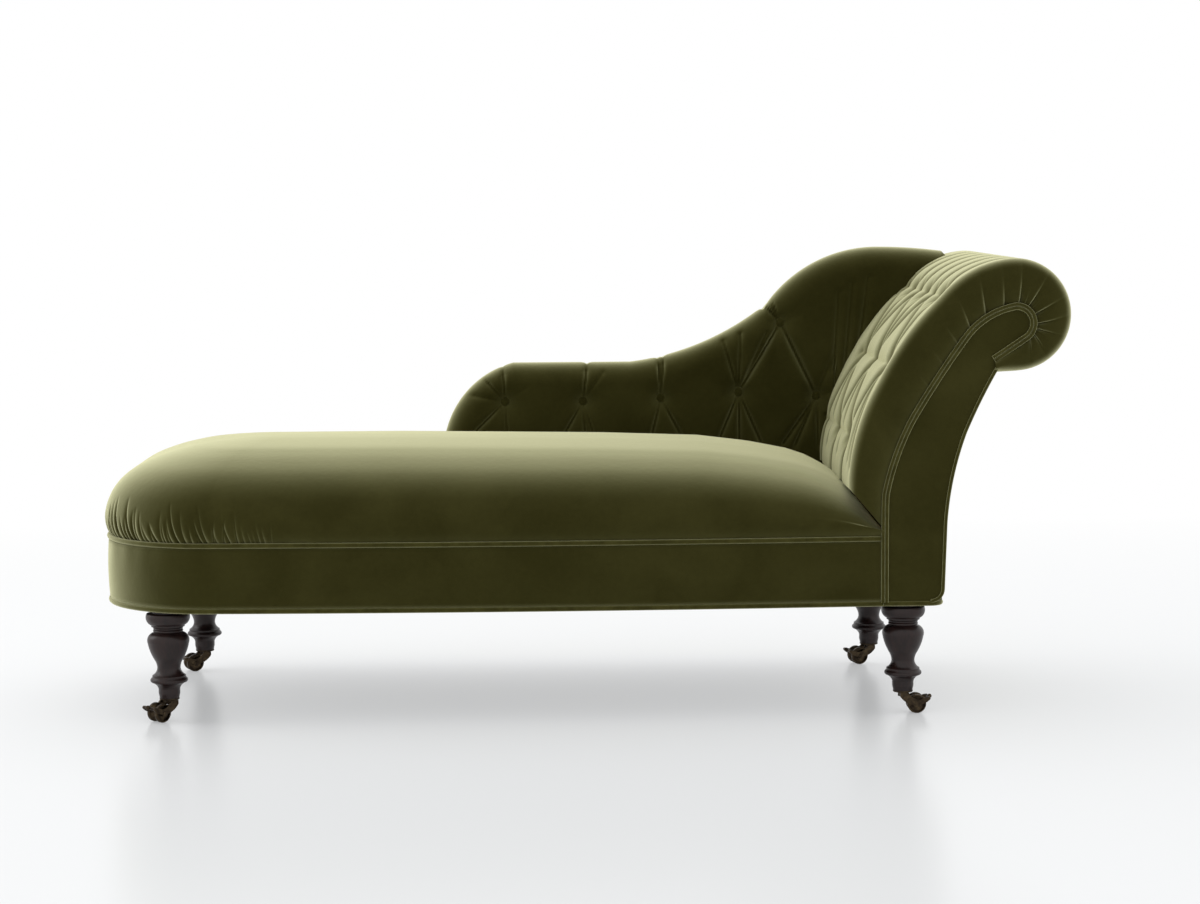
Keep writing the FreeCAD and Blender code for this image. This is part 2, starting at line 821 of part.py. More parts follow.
def build_seat_pad():
    base = float(pad_base)
    crown = float(cell("crown_rise"))
    bulge = float(cell("seat_bulge"))
    tuck = float(cell("seat_tuck"))
    whole = float(piping_x - foot_end)
    span = whole - float(cell("soft_gap"))
    sections = []
    for run, rise in FOOT_RISES + [(whole - back, rise) for back, rise in CREASE_RISES]:
        front, back = seat_half_widths(run)
        top = crown * rise
        fullness = bulge * min(1, rise * 1.6)
        lift = top * 0.76
        shoulder = 0.15 * min(front, back)
        corners = [
            (-front + tuck, base, 0),
            (back - tuck, base, None),
            (back - shoulder, base + lift, None),
            (-front + shoulder, base + lift, None),
        ]
        x = float(foot_end) + min(run, span)
        spots = [Vector(x, y, z) for y, z, _ in corners]
        side = base + top * 0.36
        edges = [
            Part.LineSegment(spots[0], spots[1]).toShape(),
            Part.Arc(spots[1], Vector(x, back + fullness, side), spots[2]).toShape(),
            Part.Arc(spots[2], Vector(x, (back - front) / 2, base + top), spots[3]).toShape(),
            Part.Arc(spots[3], Vector(x, -front - fullness, side), spots[0]).toShape(),
        ]
        sections.append(Part.Wire(edges))
    pad = Part.makeLoft(sections, True, False)
    gap = float(cell("soft_gap"))
    pad = headrest_keepout(pad, gap * 4)
    far = 2 * float(cell("length"))
    side_foot = float(foot_end + cell("side_start")) - gap
    side_front = float(rear - cell("side_pad_front")) - gap * 4
    pad = pad.cut(box_shape((side_foot, side_front, base - 1), (far, far, far)))
    rim = seat_path(cell("welt_dia") * 0.75 + cell("soft_gap"), piping_x)
    rim[-1] = (rim[-1][0], rim[-1][1], 0)
    welt_top = float(rail_top + cell("welt_dia")) + gap
    around = box_shape((-far, -far, base - 1), (far, far, welt_top))
    inside = prism(plan(closed(rim), base - 1), ALONG_Z * (welt_top - base + 1))
    pad = pad.cut(around.cut(inside))
    beside = float(piping_x - cell("piping_dia") / 2) - gap
    pad = pad.cut(box_shape((beside, -far, base - 1), (far, float(front_head) + gap, far)))

    inset = cell("stuffing_inset")
    rise = float(cell("stuffing_rise"))
    core_end = float(piping_x) - float(inset) * 2
    edge = [tuple(float(v) for v in point) for point in seat_path(inset, core_end)]
    edge[-1] = (core_end, side_front - float(inset) / 2, 0)
    edge[-2] = (edge[-2][0], side_front - float(inset) / 2, 0)
    edge[-3] = (edge[-3][0], edge[-3][1] - float(inset), edge[-3][2])
    edge = [(x, y, 0) if i in (3, 4, 5) else (x, y, r) for i, (x, y, r) in enumerate(edge)]
    core = prism(plan(closed(edge), float(platform_top)), ALONG_Z * rise)
    solid_feature("seat_stuffing", core)
    solid_feature("seat_pad", pad.cut(grown_prism(edge, gap, rise)))


def grown_prism(edge, gap, rise):
    """The stuffing's space: its outline a gap larger all round."""
    wire = plan(closed(edge), float(platform_top) - 1)
    face = Part.Face(wire.makeOffset2D(gap, 2))
    return face.extrude(ALONG_Z * (rise + 1 + gap))


# Seat border and welts
def build_seat_border():
    skin = cell("border_thickness")
    outline = band(seat_path(Size(0, "0"), piping_x), seat_path(skin, piping_x))
    border = padded_body("seat_border", "XY_Plane", outline, rail_top - border_bottom)
    place(border, z=border_bottom)
    width = float(cell("welt_dia"))
    stop = piping_x - cell("piping_dia") / 2 - cell("soft_gap")
    upper = plan(seat_path(cell("welt_dia") / 4, stop), float(rail_top) + width / 2)
    solid_feature("seat_welt_upper", tube(upper, width))
    corner = float(cell("back_thickness")) * 1.2
    inset = cell("welt_dia") / 4
    line = [tuple(float(v) for v in point) for point in seat_path(inset, piping_x)]
    far = float(back_x - inset)
    line[-1] = (line[-1][0], line[-1][1], 0)
    line += [
        (far - corner, line[-1][1], corner * -QUARTER),
        (far, line[-1][1] - corner, 0),
        (far, line[0][1] + corner, corner * -QUARTER),
        (far - corner, line[0][1], 0),
        (line[0][0] + float(cell("soft_gap")), line[0][1], 0),
    ]
    line = line[:5] + line[6:]
    path = plan(line, float(border_bottom) - width / 2)
    solid_feature("seat_welt_lower", tube(path, width))


# Side back
def from_head(alias):
    return float(head_end - cell(alias))


def side_start():
    return float(foot_end + cell("side_start"))


def side_line(drop=0.0):
    """Top line of the side back from its foot end to the headrest, drawn in by drop."""
    start = side_start() + drop
    flat = start + float(cell("side_end_length"))
    return [
        (start, float(cell("side_low_height")) - drop, -26),
        (flat, float(cell("side_flat_height")) - drop, 0),
        (from_head("side_flat_end"), float(cell("side_flat_height")) - drop, 21),
        (from_head("side_step_start"), float(cell("side_step_height")) - drop, -30),
        (from_head("side_crest_start"), float(cell("side_crest_height")) - drop, -2),
        (from_head("side_crest_end"), float(cell("side_end_height")) - drop, 0),
    ]


def side_height(x, drop=0.0):
    """Height of the side back's top line at a place along the seat."""
    spots = []
    for edge in upright(side_line(drop), 0).OrderedEdges:
        spots += edge.discretize(40)
    spots.sort(key=lambda spot: spot.x)
    for a, b in zip(spots, spots[1:]):
        if a.x <= x <= b.x and b.x > a.x:
            return a.z + (b.z - a.z) * (x - a.x) / (b.x - a.x)
    return spots[0].z if x < spots[0].x else spots[-1].z


def side_section(x, draw):
    """One slice of the side back's pad, before the room for its board is cut."""
    top = side_height(x)
    base = float(pad_base)
    front = float(rear - cell("side_pad_front")) + draw
    behind = float(rear - cell("side_panel"))
    gap = float(cell("soft_gap"))
    bulge = float(cell("side_pad_bulge"))
    tall = top - base
    spots = {
        "foot": (front + bulge, base),
        "belly": (front, base + tall * 0.5),
        "shoulder": (front + bulge * 1.4, top - 30),
        "brow": (front + bulge * 2.6, top - 9),
        "crest": ((front + behind) / 2 + 6, top),
        "nape": (behind - 4, top - 9),
        "tail": (behind - gap, top - 26),
        "heel": (behind - gap, base),
    }
    at = {name: Vector(x, y, z) for name, (y, z) in spots.items()}
    edges = [
        Part.Arc(at["foot"], at["belly"], at["shoulder"]).toShape(),
        Part.Arc(at["shoulder"], at["brow"], at["crest"]).toShape(),
        Part.Arc(at["crest"], at["nape"], at["tail"]).toShape(),
        Part.LineSegment(at["tail"], at["heel"]).toShape(),
        Part.LineSegment(at["heel"], at["foot"]).toShape(),
    ]
    return Part.Wire(edges)


def side_tuft_row():
    """Places along the seat of the row of buttons: as many as there is room for."""
    pitch = float(cell("side_tuft_pitch"))
    first = float(foot_end + cell("side_tuft_start"))
    room = from_head("side_tuft_stop") - first
    return [first + number * pitch for number in range(int(room / pitch) + 1)]


def side_tufts():
    """Places of the buttons on the side back: one row, and one high button."""
    face = float(rear - cell("side_pad_front")) + float(cell("side_pleat_depth"))
    for x in side_tuft_row():
        yield Vector(x, face, float(cell("side_tuft_height"))), Vector(0, -1, 0)
    high = float(head_end - cell("high_tuft_reach"))
    yield Vector(high, face, float(cell("high_tuft_height"))), Vector(0, -1, 0)


def build_side_back():
    deep = float(cell("side_pleat_depth"))
    pitch = float(cell("side_tuft_pitch"))
    start = side_start()
    stations = [(start + 0.5, 0.0), (start + 8, 0.0), (start + 28, 0.0)]
    stations += [(start + 58, deep * 0.3), (start + 88, deep * 0.7)]
    for x in side_tuft_row():
        stations.append((x, deep))
        stations.append((x + 0.5 * pitch, deep * 0.15))
    end = from_head("side_crest_end")
    stations += [((stations[-1][0] + end) / 2, deep * 0.3), (end, deep * 0.3)]
    pad = Part.makeLoft([side_section(x, draw) for x, draw in stations], True, False)
    gap = float(cell("soft_gap"))
    pad = headrest_keepout(pad, gap * 8)
    board_y = float(rear - cell("side_panel") - cell("side_board"))
    room = side_line(float(cell("side_wrap")) - gap)
    room[-1] = (room[-1][0] + 60, room[-1][1], 0)
    room += [(room[-1][0], float(rail_top), 0), (room[0][0], float(rail_top), 0)]
    pad = pad.cut(prism(upright(closed(room), board_y - gap), ALONG_Y * float(cell("side_pad_front"))))
    buttons = []
    for spot, normal in side_tufts():
        pad = pad.cut(tuft_seat(spot, normal))
        buttons.append(button(spot, normal))
    solid_feature("side_back_pad", pad)
    solid_feature("side_back_buttons", Part.Compound(buttons))

    board = ALONG_Y * float(cell("side_board"))
    wrap = float(cell("side_wrap"))
    wide = float(cell("side_rail_width"))
    stop = float(head_end - cell("crease_reach")) + 2.2 * wide
    upper = side_line(wrap)[:5]
    upper[-1] = (upper[-1][0], upper[-1][1], 0)
    floor = float(platform_top)
    blank = prism(
        upright(closed(upper + [(upper[-1][0], floor, 0), (upper[0][0], floor, 0)]), board_y),
        board,
    )
    lowered = blank.copy()
    lowered.translate(Vector(0, 0, -wide))
    reach = (stop, board_y + float(cell("side_board")), float(cell("length")))
    window = box_shape((upper[0][0] - 1, board_y, floor - 1), reach)
    top_rail = blank.cut(lowered).common(window)
    top_rail = headrest_keepout(top_rail, 4)
    top_rail = max(top_rail.Solids, key=lambda solid: solid.Volume)
    bottom_end = float(head_end - cell("crease_reach")) - wide / 2
    low_rail = box_shape(
        (upper[0][0], board_y, floor),
        (bottom_end, board_y + float(cell("side_board")), floor + wide * 0.8),
    )
    solid_feature("side_back_top_rail", top_rail.cut(low_rail))
    solid_feature("side_back_low_rail", low_rail)
    inner = lowered.cut(low_rail)
    posts = {
        "foot": upper[0][0] + 1,
        "middle": from_head("side_flat_end") - wide,
        "head": bottom_end - wide * 0.7,
    }
    for name, x in posts.items():
        low = (x, board_y, floor + wide * 0.8)
        high = (x + wide * 0.7, board_y + float(cell("side_board")), float(cell("length")))
        post = box_shape(low, high).common(inner)
        solid_feature(f"side_back_post_{name}", max(post.Solids, key=lambda s: s.Volume))

    panel_y = float(rear - cell("side_panel"))
    edge = side_line(wrap)
    edge[0] = (edge[0][0] - wrap * 0.5, edge[0][1], edge[0][2])
    above_welt = float(rail_top + cell("welt_dia")) + gap
    edge += [(edge[-1][0], above_welt, 0), (edge[0][0], above_welt, 0)]
    panel = prism(upright(closed(edge), panel_y), ALONG_Y * float(cell("side_panel")))
    solid_feature("side_back_outside", headrest_keepout(panel, gap * 8))


# Turned legs and castors
LEG_NAMES = ("foot_front", "head_front", "foot_rear", "head_rear")
CASTOR_TURNS = (225, 0, 205, 195)


def leg_profile():
    def half(alias):
        return cell(alias) / 2

    low = cell("leg_bottom")
    top = cell("rail_bottom")
    return [
        (0, low),
        (half("leg_foot_dia") - 2, low),
        (half("leg_foot_dia"), low + 9),
        (half("leg_foot_dia"), low + 17.5),
        (half("leg_foot_dia") + 1, low + 20, -1.5),
        (half("leg_bead_dia") - 0.8, low + 29.5, 2),
        (half("leg_bead_dia") - 0.8, low + 36.5),
        (half("leg_bead_dia") - 2.4, low + 38.5, 0),
        (half("leg_bead_dia") - 2.6, low + 41.5, -2.2),
        (half("leg_waist_dia"), low + 55.5, -0.8),
        (half("leg_vase_dia") - 12.5, low + 68.5, 1.6),
        (half("leg_vase_dia"), low + 100.5, 4.6),
        (half("leg_ring_dia") + 1.4, top - 48),
        (half("leg_ring_dia"), top - 47, 1.4),
        (half("leg_ring_dia"), top - 42, 1.2),
        (half("leg_ring_dia"), top - 37.4),
        (half("leg_fillet_dia"), top - 36.8),
        (half("leg_fillet_dia"), top - 33.5),
        (half("leg_collar_dia") - 7, top - 32.8, 3.6),
        (half("leg_collar_dia") - 1.8, top - 13.5),
        (half("leg_neck_dia"), top - 11.6),
        (half("leg_neck_dia"), top),
        (half("leg_dowel_dia"), top),
        (half("leg_dowel_dia"), top + cell("leg_dowel_length")),
        (0, top + cell("leg_dowel_length")),
    ]


def build_leg(name, x, y):
    leg = turned_body(f"leg_{name}", leg_profile())
    place(leg, x, y)


def plate_profile():
    top = cell("leg_bottom")
    under = top - cell("plate_thickness")
    eye = under - cell("side_play") - cell("horn_height") - cell("side_play")
    return [
        (0, top),
        (0, eye - cell("pintle_head")),
        (cell("pintle_head_dia") / 2 - 0.8, eye - cell("pintle_head")),
        (cell("pintle_head_dia") / 2, eye - 0.7),
        (cell("pintle_head_dia") / 2, eye),
        (cell("pintle_dia") / 2, eye),
        (cell("pintle_dia") / 2, under),
        (cell("plate_dia") / 2 - 0.8, under),
        (cell("plate_dia") / 2, under + 0.8),
        (cell("plate_dia") / 2, top),
    ]


def screw_spots(turn):
    ring = float(cell("screw_circle")) / 2
    for step in range(3):
        angle = math.radians(turn + 60 + 120 * step)
        yield Vector(ring * math.cos(angle), ring * math.sin(angle), 0)


def build_plate(name, x, y):
    """Top plate with its pintle, in one casting, and three screw holes."""
    plate = turned_body(f"castor_plate_{name}", plate_profile())
    place(plate, x, y)
    for number, spot in enumerate(screw_spots(0), start=1):
        sketch = plate.newObject("Sketcher::SketchObject", f"plate_{name}_hole_{number}")
        plane = [f for f in plate.Origin.OriginFeatures if f.Role == "XY_Plane"][0]
        sketch.AttachmentSupport = (plane, [""])
        sketch.MapMode = "FlatFace"
        radius = cell("screw_dia") / 2 + cell("running_gap")
        sketch.addGeometry(Part.Circle(spot, ALONG_Z, float(radius)))
        share_x = spot.x / float(cell("screw_circle"))
        share_y = spot.y / float(cell("screw_circle"))
        for kind, share in (("DistanceX", share_x), ("DistanceY", share_y)):
            value = cell("screw_circle") * share
            rule = Sketcher.Constraint(kind, -1, 1, 0, 3, float(value))
            sketch.setExpression(f"Constraints[{sketch.addConstraint(rule)}]", value.text)
        rule = Sketcher.Constraint("Radius", 0, float(radius))
        sketch.setExpression(f"Constraints[{sketch.addConstraint(rule)}]", radius.text)
        pocket = plate.newObject("PartDesign::Pocket", f"plate_{name}_drill_{number}")
        pocket.Profile = sketch
        pocket.Reversed = True
        bind(pocket, "Length", cell("leg_bottom") + 1)
        plate.Tip = pocket


def castor_centre(x, y, turn):
    trail = cell("castor_trail")
    angle = math.radians(turn)
    return x + trail * math.cos(angle), y + trail * math.sin(angle)


def wheel_profile():
    """Half section of the bobbin wheel: rims, groove, recessed faces and hub."""
    radius = cell("wheel_dia") / 2
    half = cell("wheel_width") / 2
    rim = half - cell("wheel_rim")
    bore = cell("axle_dia") / 2 + cell("running_gap")
    hub = cell("axle_dia") / 2 + 3
    recess = half - 4.5
    right = [
        (bore, half),
        (hub, half),
        (hub + 0.5, recess),
        (radius - 3, recess),
        (radius - 2.5, half),
        (radius - 0.8, half),
        (radius, half - 0.8),
        (radius, rim + 0.8),
        (radius - 1.4, rim - 0.6, cell("wheel_groove") - 1.4),
    ]
    left = [(r, -along) for r, along, *_ in reversed(right)]
    return right + left


def build_wheel(name, x, y, turn):
    wheel = doc.addObject("PartDesign::Body", f"castor_wheel_{name}")
    sketch = add_sketch(wheel, f"wheel_{name}_profile", "XY_Plane", wheel_profile())
    turning = wheel.newObject("PartDesign::Revolution", f"wheel_{name}_turning")
    turning.Profile = sketch
    turning.ReferenceAxis = (sketch, ["V_Axis"])
    turning.Angle = 360
    wheel.Tip = turning
    keep(wheel, f"castor_wheel_{name}")
    centre = castor_centre(x, y, turn)
    place(wheel, centre[0], centre[1], cell("wheel_dia") / 2, turn)


def make(kind, label, sizes, centre=(0, 0, 0), axis=None):
    """A Part primitive with bound sizes, set at a place in the castor's own frame."""
    thing = doc.addObject(f"Part::{kind}", label)
    for prop, value in sizes.items():
        bind(thing, prop, value)
    if axis:
        turned = FreeCAD.Rotation(ALONG_Z, axis)
        thing.Placement = FreeCAD.Placement(Vector(), turned)
    for name, value in zip("xyz", centre):
        bind(thing, f"Placement.Base.{name}", value)
    return thing


def build_horn(name, x, y, turn):
    """The casting that swivels on the pintle and carries the axle between two cheeks."""
    top = cell("leg_bottom") - cell("plate_thickness") - cell("side_play")
    low = top - cell("horn_height")
    trail = cell("castor_trail")
    axle_z = cell("wheel_dia") / 2
    inner = cell("wheel_width") / 2 + cell("side_play")
    outer = inner + cell("cheek_thickness")
    eye = cell("horn_eye_dia") / 2
    half_gap = cell("running_gap")
    fused = [make("Cylinder", f"horn_eye_{name}", {"Radius": eye, "Height": top - low}, (0, 0, low))]
    yoke = {"Length": eye * 1.55, "Width": outer * 2, "Height": top - low - 1}
    fused.append(make("Box", f"horn_yoke_{name}", yoke, (-eye * 0.75, -outer, low + 1)))
    for side, start in (("near", -outer), ("far", inner)):
        fused.append(cheek(f"horn_cheek_{name}_{side}", start, low, top))
    bar = make(
        "Cylinder",
        f"horn_bar_{name}",
        {"Radius": cell("knob_dia") * 0.32, "Height": outer * 2},
        (trail + axle_z + 4.5, -outer, axle_z + 10.5),
        None,
    )
    bar.Placement = FreeCAD.Placement(bar.Placement.Base, FreeCAD.Rotation(ALONG_X, -90))
    fused.append(bar)
    knob_at = (trail + axle_z + 7.5, 0, axle_z + 12)
    fused.append(make("Sphere", f"horn_knob_{name}", {"Radius": cell("knob_dia") / 2}, knob_at))
    body = doc.addObject("Part::MultiFuse", f"horn_body_{name}")
    body.Shapes = fused
    bore = make(
        "Cylinder",
        f"horn_bore_{name}",
        {"Radius": cell("pintle_dia") / 2 + half_gap, "Height": top - low + 4},
        (0, 0, low - 2),
    )
    seat = make(
        "Cylinder",
        f"horn_axle_hole_{name}",
        {"Radius": cell("axle_dia") / 2 + 0.02, "Height": outer * 2 + 2},
        (trail, -outer - 1, axle_z),
    )
    seat.Placement = FreeCAD.Placement(seat.Placement.Base, FreeCAD.Rotation(ALONG_X, -90))
    tools = doc.addObject("Part::MultiFuse", f"horn_holes_{name}")
    tools.Shapes = [bore, seat]
    horn = doc.addObject("Part::Cut", f"castor_horn_{name}")
    horn.Base = body
    horn.Tool = tools
    place(horn, x, y, 0, turn)
    keep(horn, f"castor_horn_{name}")


def cheek(label, start, low, top):
    """One cheek of the horn: a bent arm from the yoke past the axle to the knob bar."""
    body = doc.addObject("PartDesign::Body", label)
    trail = cell("castor_trail")
    axle_z = cell("wheel_dia") / 2
    boss = cell("axle_dia") * 1.25
    eye = cell("horn_eye_dia") / 2
    points = [
        (-eye * 0.75, top, 0),
        (-eye * 0.75, low + 1, 3),
        (trail - boss, axle_z - 1.5, 4.2),
        (trail + boss, axle_z - 1.0, 1.5),
        (trail + axle_z + 6.5, axle_z + 8.5, 1.6),
        (trail + axle_z + 4.5, axle_z + 13.0, 1.0),
        (trail + boss * 0.9, axle_z + 8.0, -3.0),
        (eye * 0.9, top, 0),
    ]
    sketch = add_sketch(body, f"{label}_outline", "XZ_Plane", points)
    pad = body.newObject("PartDesign::Pad", f"{label}_pad")
    pad.Profile = sketch
    pad.Reversed = True
    bind(pad, "Length", cell("cheek_thickness"))
    body.Tip = pad
    bind(body, "Placement.Base.y", start)
    return body


def build_axle(name, x, y, turn):
    """Riveted axle: a pin with a low head at each end."""
    half = cell("wheel_width") / 2 + cell("side_play") + cell("cheek_thickness")
    pin = cell("axle_dia") / 2
    head = cell("axle_head_dia") / 2
    body = doc.addObject("PartDesign::Body", f"castor_axle_{name}")
    tip = half + cell("axle_head")
    right = [(0, tip), (head - 1, tip), (head, tip - 0.7), (head, half), (pin, half)]
    left = [(r, -along) for r, along in reversed(right)]
    sketch = add_sketch(body, f"axle_{name}_profile", "XY_Plane", right + left)
    turning = body.newObject("PartDesign::Revolution", f"axle_{name}_turning")
    turning.Profile = sketch
    turning.ReferenceAxis = (sketch, ["V_Axis"])
    turning.Angle = 360
    body.Tip = turning
    keep(body, f"castor_axle_{name}")
    centre = castor_centre(x, y, turn)
    place(body, centre[0], centre[1], cell("wheel_dia") / 2, turn)


def build_legs_and_castors():
    screws = []
    head = float(cell("screw_head_dia")) / 2
    shank = float(cell("screw_dia")) / 2
    under = float(cell("leg_bottom") - cell("plate_thickness"))
    for name, (x, y), turn in zip(LEG_NAMES, leg_places(), CASTOR_TURNS):
        build_leg(name, x, y)
        build_plate(name, x, y)
        build_horn(name, x, y, turn)
        build_wheel(name, x, y, turn)
        build_axle(name, x, y, turn)
        for spot in screw_spots(0):
            at = Vector(float(x), float(y), under) + spot
            stem = Part.makeCylinder(shank, float(cell("screw_length")), at)
            cap = Part.makeCylinder(head, 0.2, at - ALONG_Z * 0.2)
            screws.append(stem.fuse(cap).removeSplitter())
    solid_feature("castor_screws", Part.Compound(screws))


def check_and_write():
    for thing in doc.Objects:
        if "Invalid" in thing.State or "Error" in thing.State:
            raise RuntimeError(f"{thing.Label} failed: {thing.State}")
    for part in parts:
        if part.Shape.isNull() or not part.Shape.isValid():
            raise RuntimeError(f"{part.Label} has no valid shape")
    os.makedirs("parts", exist_ok=True)
    for part in parts:
        part.Shape.exportStep(f"parts/{part.Label}.step")
    print(len(parts), "parts written")


build_seat_frame()
build_seat_platform()
build_seat_border()
build_seat_pad()
build_headrest()
build_side_back()
build_legs_and_castors()
doc.recompute()
check_and_write()
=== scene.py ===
# %% [markdown]
# # A buttoned chaise longue in velvet
# The frame below is the finished carpentry: rails, boards, legs, castors and plain
# solids where the stuffing goes. This lesson dresses it as an upholsterer would, from
# the seat outwards, and then sets the studio. Sizes are in millimetres until a mesh is
# written, where they become metres.

# %% The frame and the tools used all through
import json
import math
import random

import bpy
import numpy as np
from mathutils import Matrix, Vector


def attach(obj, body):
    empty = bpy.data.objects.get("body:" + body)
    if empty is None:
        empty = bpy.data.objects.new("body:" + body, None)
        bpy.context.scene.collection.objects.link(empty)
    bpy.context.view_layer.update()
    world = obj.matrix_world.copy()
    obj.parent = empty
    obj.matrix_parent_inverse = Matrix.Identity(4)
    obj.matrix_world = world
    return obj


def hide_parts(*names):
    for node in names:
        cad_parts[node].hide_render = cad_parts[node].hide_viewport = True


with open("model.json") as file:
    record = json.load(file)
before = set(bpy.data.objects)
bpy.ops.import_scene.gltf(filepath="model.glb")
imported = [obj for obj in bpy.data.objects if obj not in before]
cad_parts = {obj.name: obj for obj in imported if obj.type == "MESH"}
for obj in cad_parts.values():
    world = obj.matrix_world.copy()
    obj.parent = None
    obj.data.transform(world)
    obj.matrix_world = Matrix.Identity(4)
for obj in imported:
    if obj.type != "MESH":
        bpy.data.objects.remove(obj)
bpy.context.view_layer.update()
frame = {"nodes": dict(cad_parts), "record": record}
MM = 0.001

# %% [markdown]
# The camera comes first, because every later choice is judged through it. The picture
# was taken with a long lens from about five metres, almost square to the piece and from
# a little above its highest point. A camera is placed by its position and three small turns.

# %% The camera
EYE = Vector((-67.76, -5077.7, 949.7)) * MM
YAW, PITCH, ROLL = 0.0205, 0.09735, -0.00684

ahead = Vector((math.sin(YAW) * math.cos(PITCH), math.cos(YAW) * math.cos(PITCH), -math.sin(PITCH)))
level = Vector((math.cos(YAW), -math.sin(YAW), 0))
over = level.cross(ahead)
right = level * math.cos(ROLL) + over * math.sin(ROLL)
upward = over * math.cos(ROLL) - level * math.sin(ROLL)
bpy.ops.object.camera_add(location=EYE)
camera = bpy.context.object
camera.matrix_world = Matrix.Translation(EYE) @ Matrix((right, upward, -ahead)).transposed().to_4x4()
camera.data.lens = 81
camera.data.sensor_width = 36
bpy.context.scene.camera = camera

# %% [markdown]
# Each upholstered surface starts as a flat grid. A rule then says where a point at
# (across, along) of the grid goes in space. The same rule can carry tufts, pleats and
# gathers, so cloth and shape stay one thing. Numpy moves all the points at once.


# %% Helpers for shaped grids
def drop_selection():
    bpy.ops.object.select_all(action="DESELECT")


def shaped_grid(name, across, along, rule):
    """A grid primitive whose points go where the rule puts them, in millimetres."""
    drop_selection()
    bpy.ops.mesh.primitive_grid_add(x_subdivisions=across, y_subdivisions=along, size=1)
    piece = bpy.context.object
    piece.name = piece.data.name = name
    count = len(piece.data.vertices)
    flat = np.empty(count * 3)
    piece.data.vertices.foreach_get("co", flat)
    flat = flat.reshape(-1, 3)
    spots = rule(flat[:, 0] + 0.5, flat[:, 1] + 0.5) * MM
    piece.data.vertices.foreach_set("co", spots.ravel())
    piece.data.update()
    return piece


def close_up(piece, near=0.02, fill=False):
    """Merge the seams, fill the open ends and turn all faces outwards."""
    drop_selection()
    piece.select_set(True)
    bpy.context.view_layer.objects.active = piece
    bpy.ops.object.mode_set(mode="EDIT")
    bpy.ops.mesh.select_all(action="SELECT")
    bpy.ops.mesh.remove_doubles(threshold=near * MM)
    if fill:
        bpy.ops.mesh.select_all(action="DESELECT")
        bpy.ops.mesh.select_mode(type="EDGE")
        bpy.ops.mesh.select_non_manifold(extend=False, use_multi_face=False, use_non_contiguous=False,
                                         use_verts=False, use_wire=False, use_boundary=True)
        bpy.ops.mesh.fill_holes(sides=0)
        bpy.ops.mesh.select_mode(type="VERT")
    bpy.ops.mesh.select_all(action="SELECT")
    bpy.ops.mesh.normals_make_consistent(inside=False)
    bpy.ops.object.mode_set(mode="OBJECT")
    bpy.ops.object.shade_smooth()
    return piece


def bowed(points, counts):
    """Points along a chain of (x, z, rise) edges, each bowed by its rise, as dense samples."""
    line = []
    for (a, b), count in zip(zip(points, points[1:]), counts):
        (ax, az, rise), (bx, bz) = a, b[:2]
        run = math.hypot(bx - ax, bz - az)
        share = np.arange(count) / count
        if abs(rise) < 1e-6:
            line.append(np.stack([ax + (bx - ax) * share, az + (bz - az) * share], 1))
            continue
        radius = (run * run / 4 + rise * rise) / (2 * abs(rise))
        half = math.asin(min(1, run / 2 / radius))
        turn = (2 * share - 1) * half
        along = run / 2 + radius * np.sin(turn)
        out = (radius * np.cos(turn) - radius * math.cos(half)) * math.copysign(1, rise)
        ex, ez = (bx - ax) / run, (bz - az) / run
        line.append(np.stack([ax + ex * along + ez * out, az + ez * along - ex * out], 1))
    line.append(np.array([points[-1][:2]], float))
    return np.concatenate(line)


def eased(line, reach):
    """A line with its kinks smoothed over a reach of samples; its ends stay."""
    weights = np.hanning(2 * reach + 3)[1:-1]
    weights /= weights.sum()
    padded = np.concatenate([2 * line[:1] - line[reach:0:-1], line, 2 * line[-1:] - line[-2:-reach - 2:-1]])
    return np.stack([np.convolve(padded[:, i], weights, "valid") for i in range(line.shape[1])], 1)


def lengths(line):
    """Distance walked along a line, at each of its points."""
    return np.concatenate([[0], np.cumsum(np.linalg.norm(np.diff(line, axis=0), axis=1))])


def at(line, walked, spot):
    """Places on a line at given distances."""
    return np.stack([np.interp(spot, walked, line[:, i]) for i in range(line.shape[1])], -1)


def flat_panel(name, outline, thick):
    """A panel cut to an outline in space and thickened by a move, in millimetres; and its flat area."""
    drop_selection()
    bpy.ops.mesh.primitive_circle_add(vertices=len(outline), radius=1, fill_type="NGON")
    piece = bpy.context.object
    piece.name = piece.data.name = name
    for vertex, spot in zip(piece.data.vertices, outline):
        vertex.co = Vector(spot) * MM
    area = sum(face.area for face in piece.data.polygons)
    bpy.ops.object.mode_set(mode="EDIT")
    bpy.ops.mesh.select_all(action="SELECT")
    bpy.ops.mesh.extrude_region_move(TRANSFORM_OT_translate={"value": Vector(thick) * MM})
    bpy.ops.mesh.select_all(action="SELECT")
    bpy.ops.mesh.normals_make_consistent(inside=False)
    bpy.ops.object.mode_set(mode="OBJECT")
    return piece, area


def joined(name, pieces):
    """Several meshes as one piece."""
    drop_selection()
    for piece in pieces:
        piece.select_set(True)
    bpy.context.view_layer.objects.active = pieces[0]
    bpy.ops.object.join()
    piece = bpy.context.object
    piece.name = piece.data.name = name
    return piece


def flat_line(line, z):
    """A plan line of (x, y) points, laid level in space."""
    return np.stack([line[:, 0], line[:, 1], np.full(len(line), z)], 1)


def upright_line(line, y):
    """An elevation line of (x, z) points, stood up in space."""
    return np.stack([line[:, 0], np.full(len(line), y), line[:, 1]], 1)


# %% [markdown]
# Folds in velvet are valleys with a sharp bottom and round shoulders. One rule draws
# them all: the distance of a point from a short line, turned into a depth that falls
# off quickly. Where valleys cross, the deepest wins softly, so buttons don't sink twice.


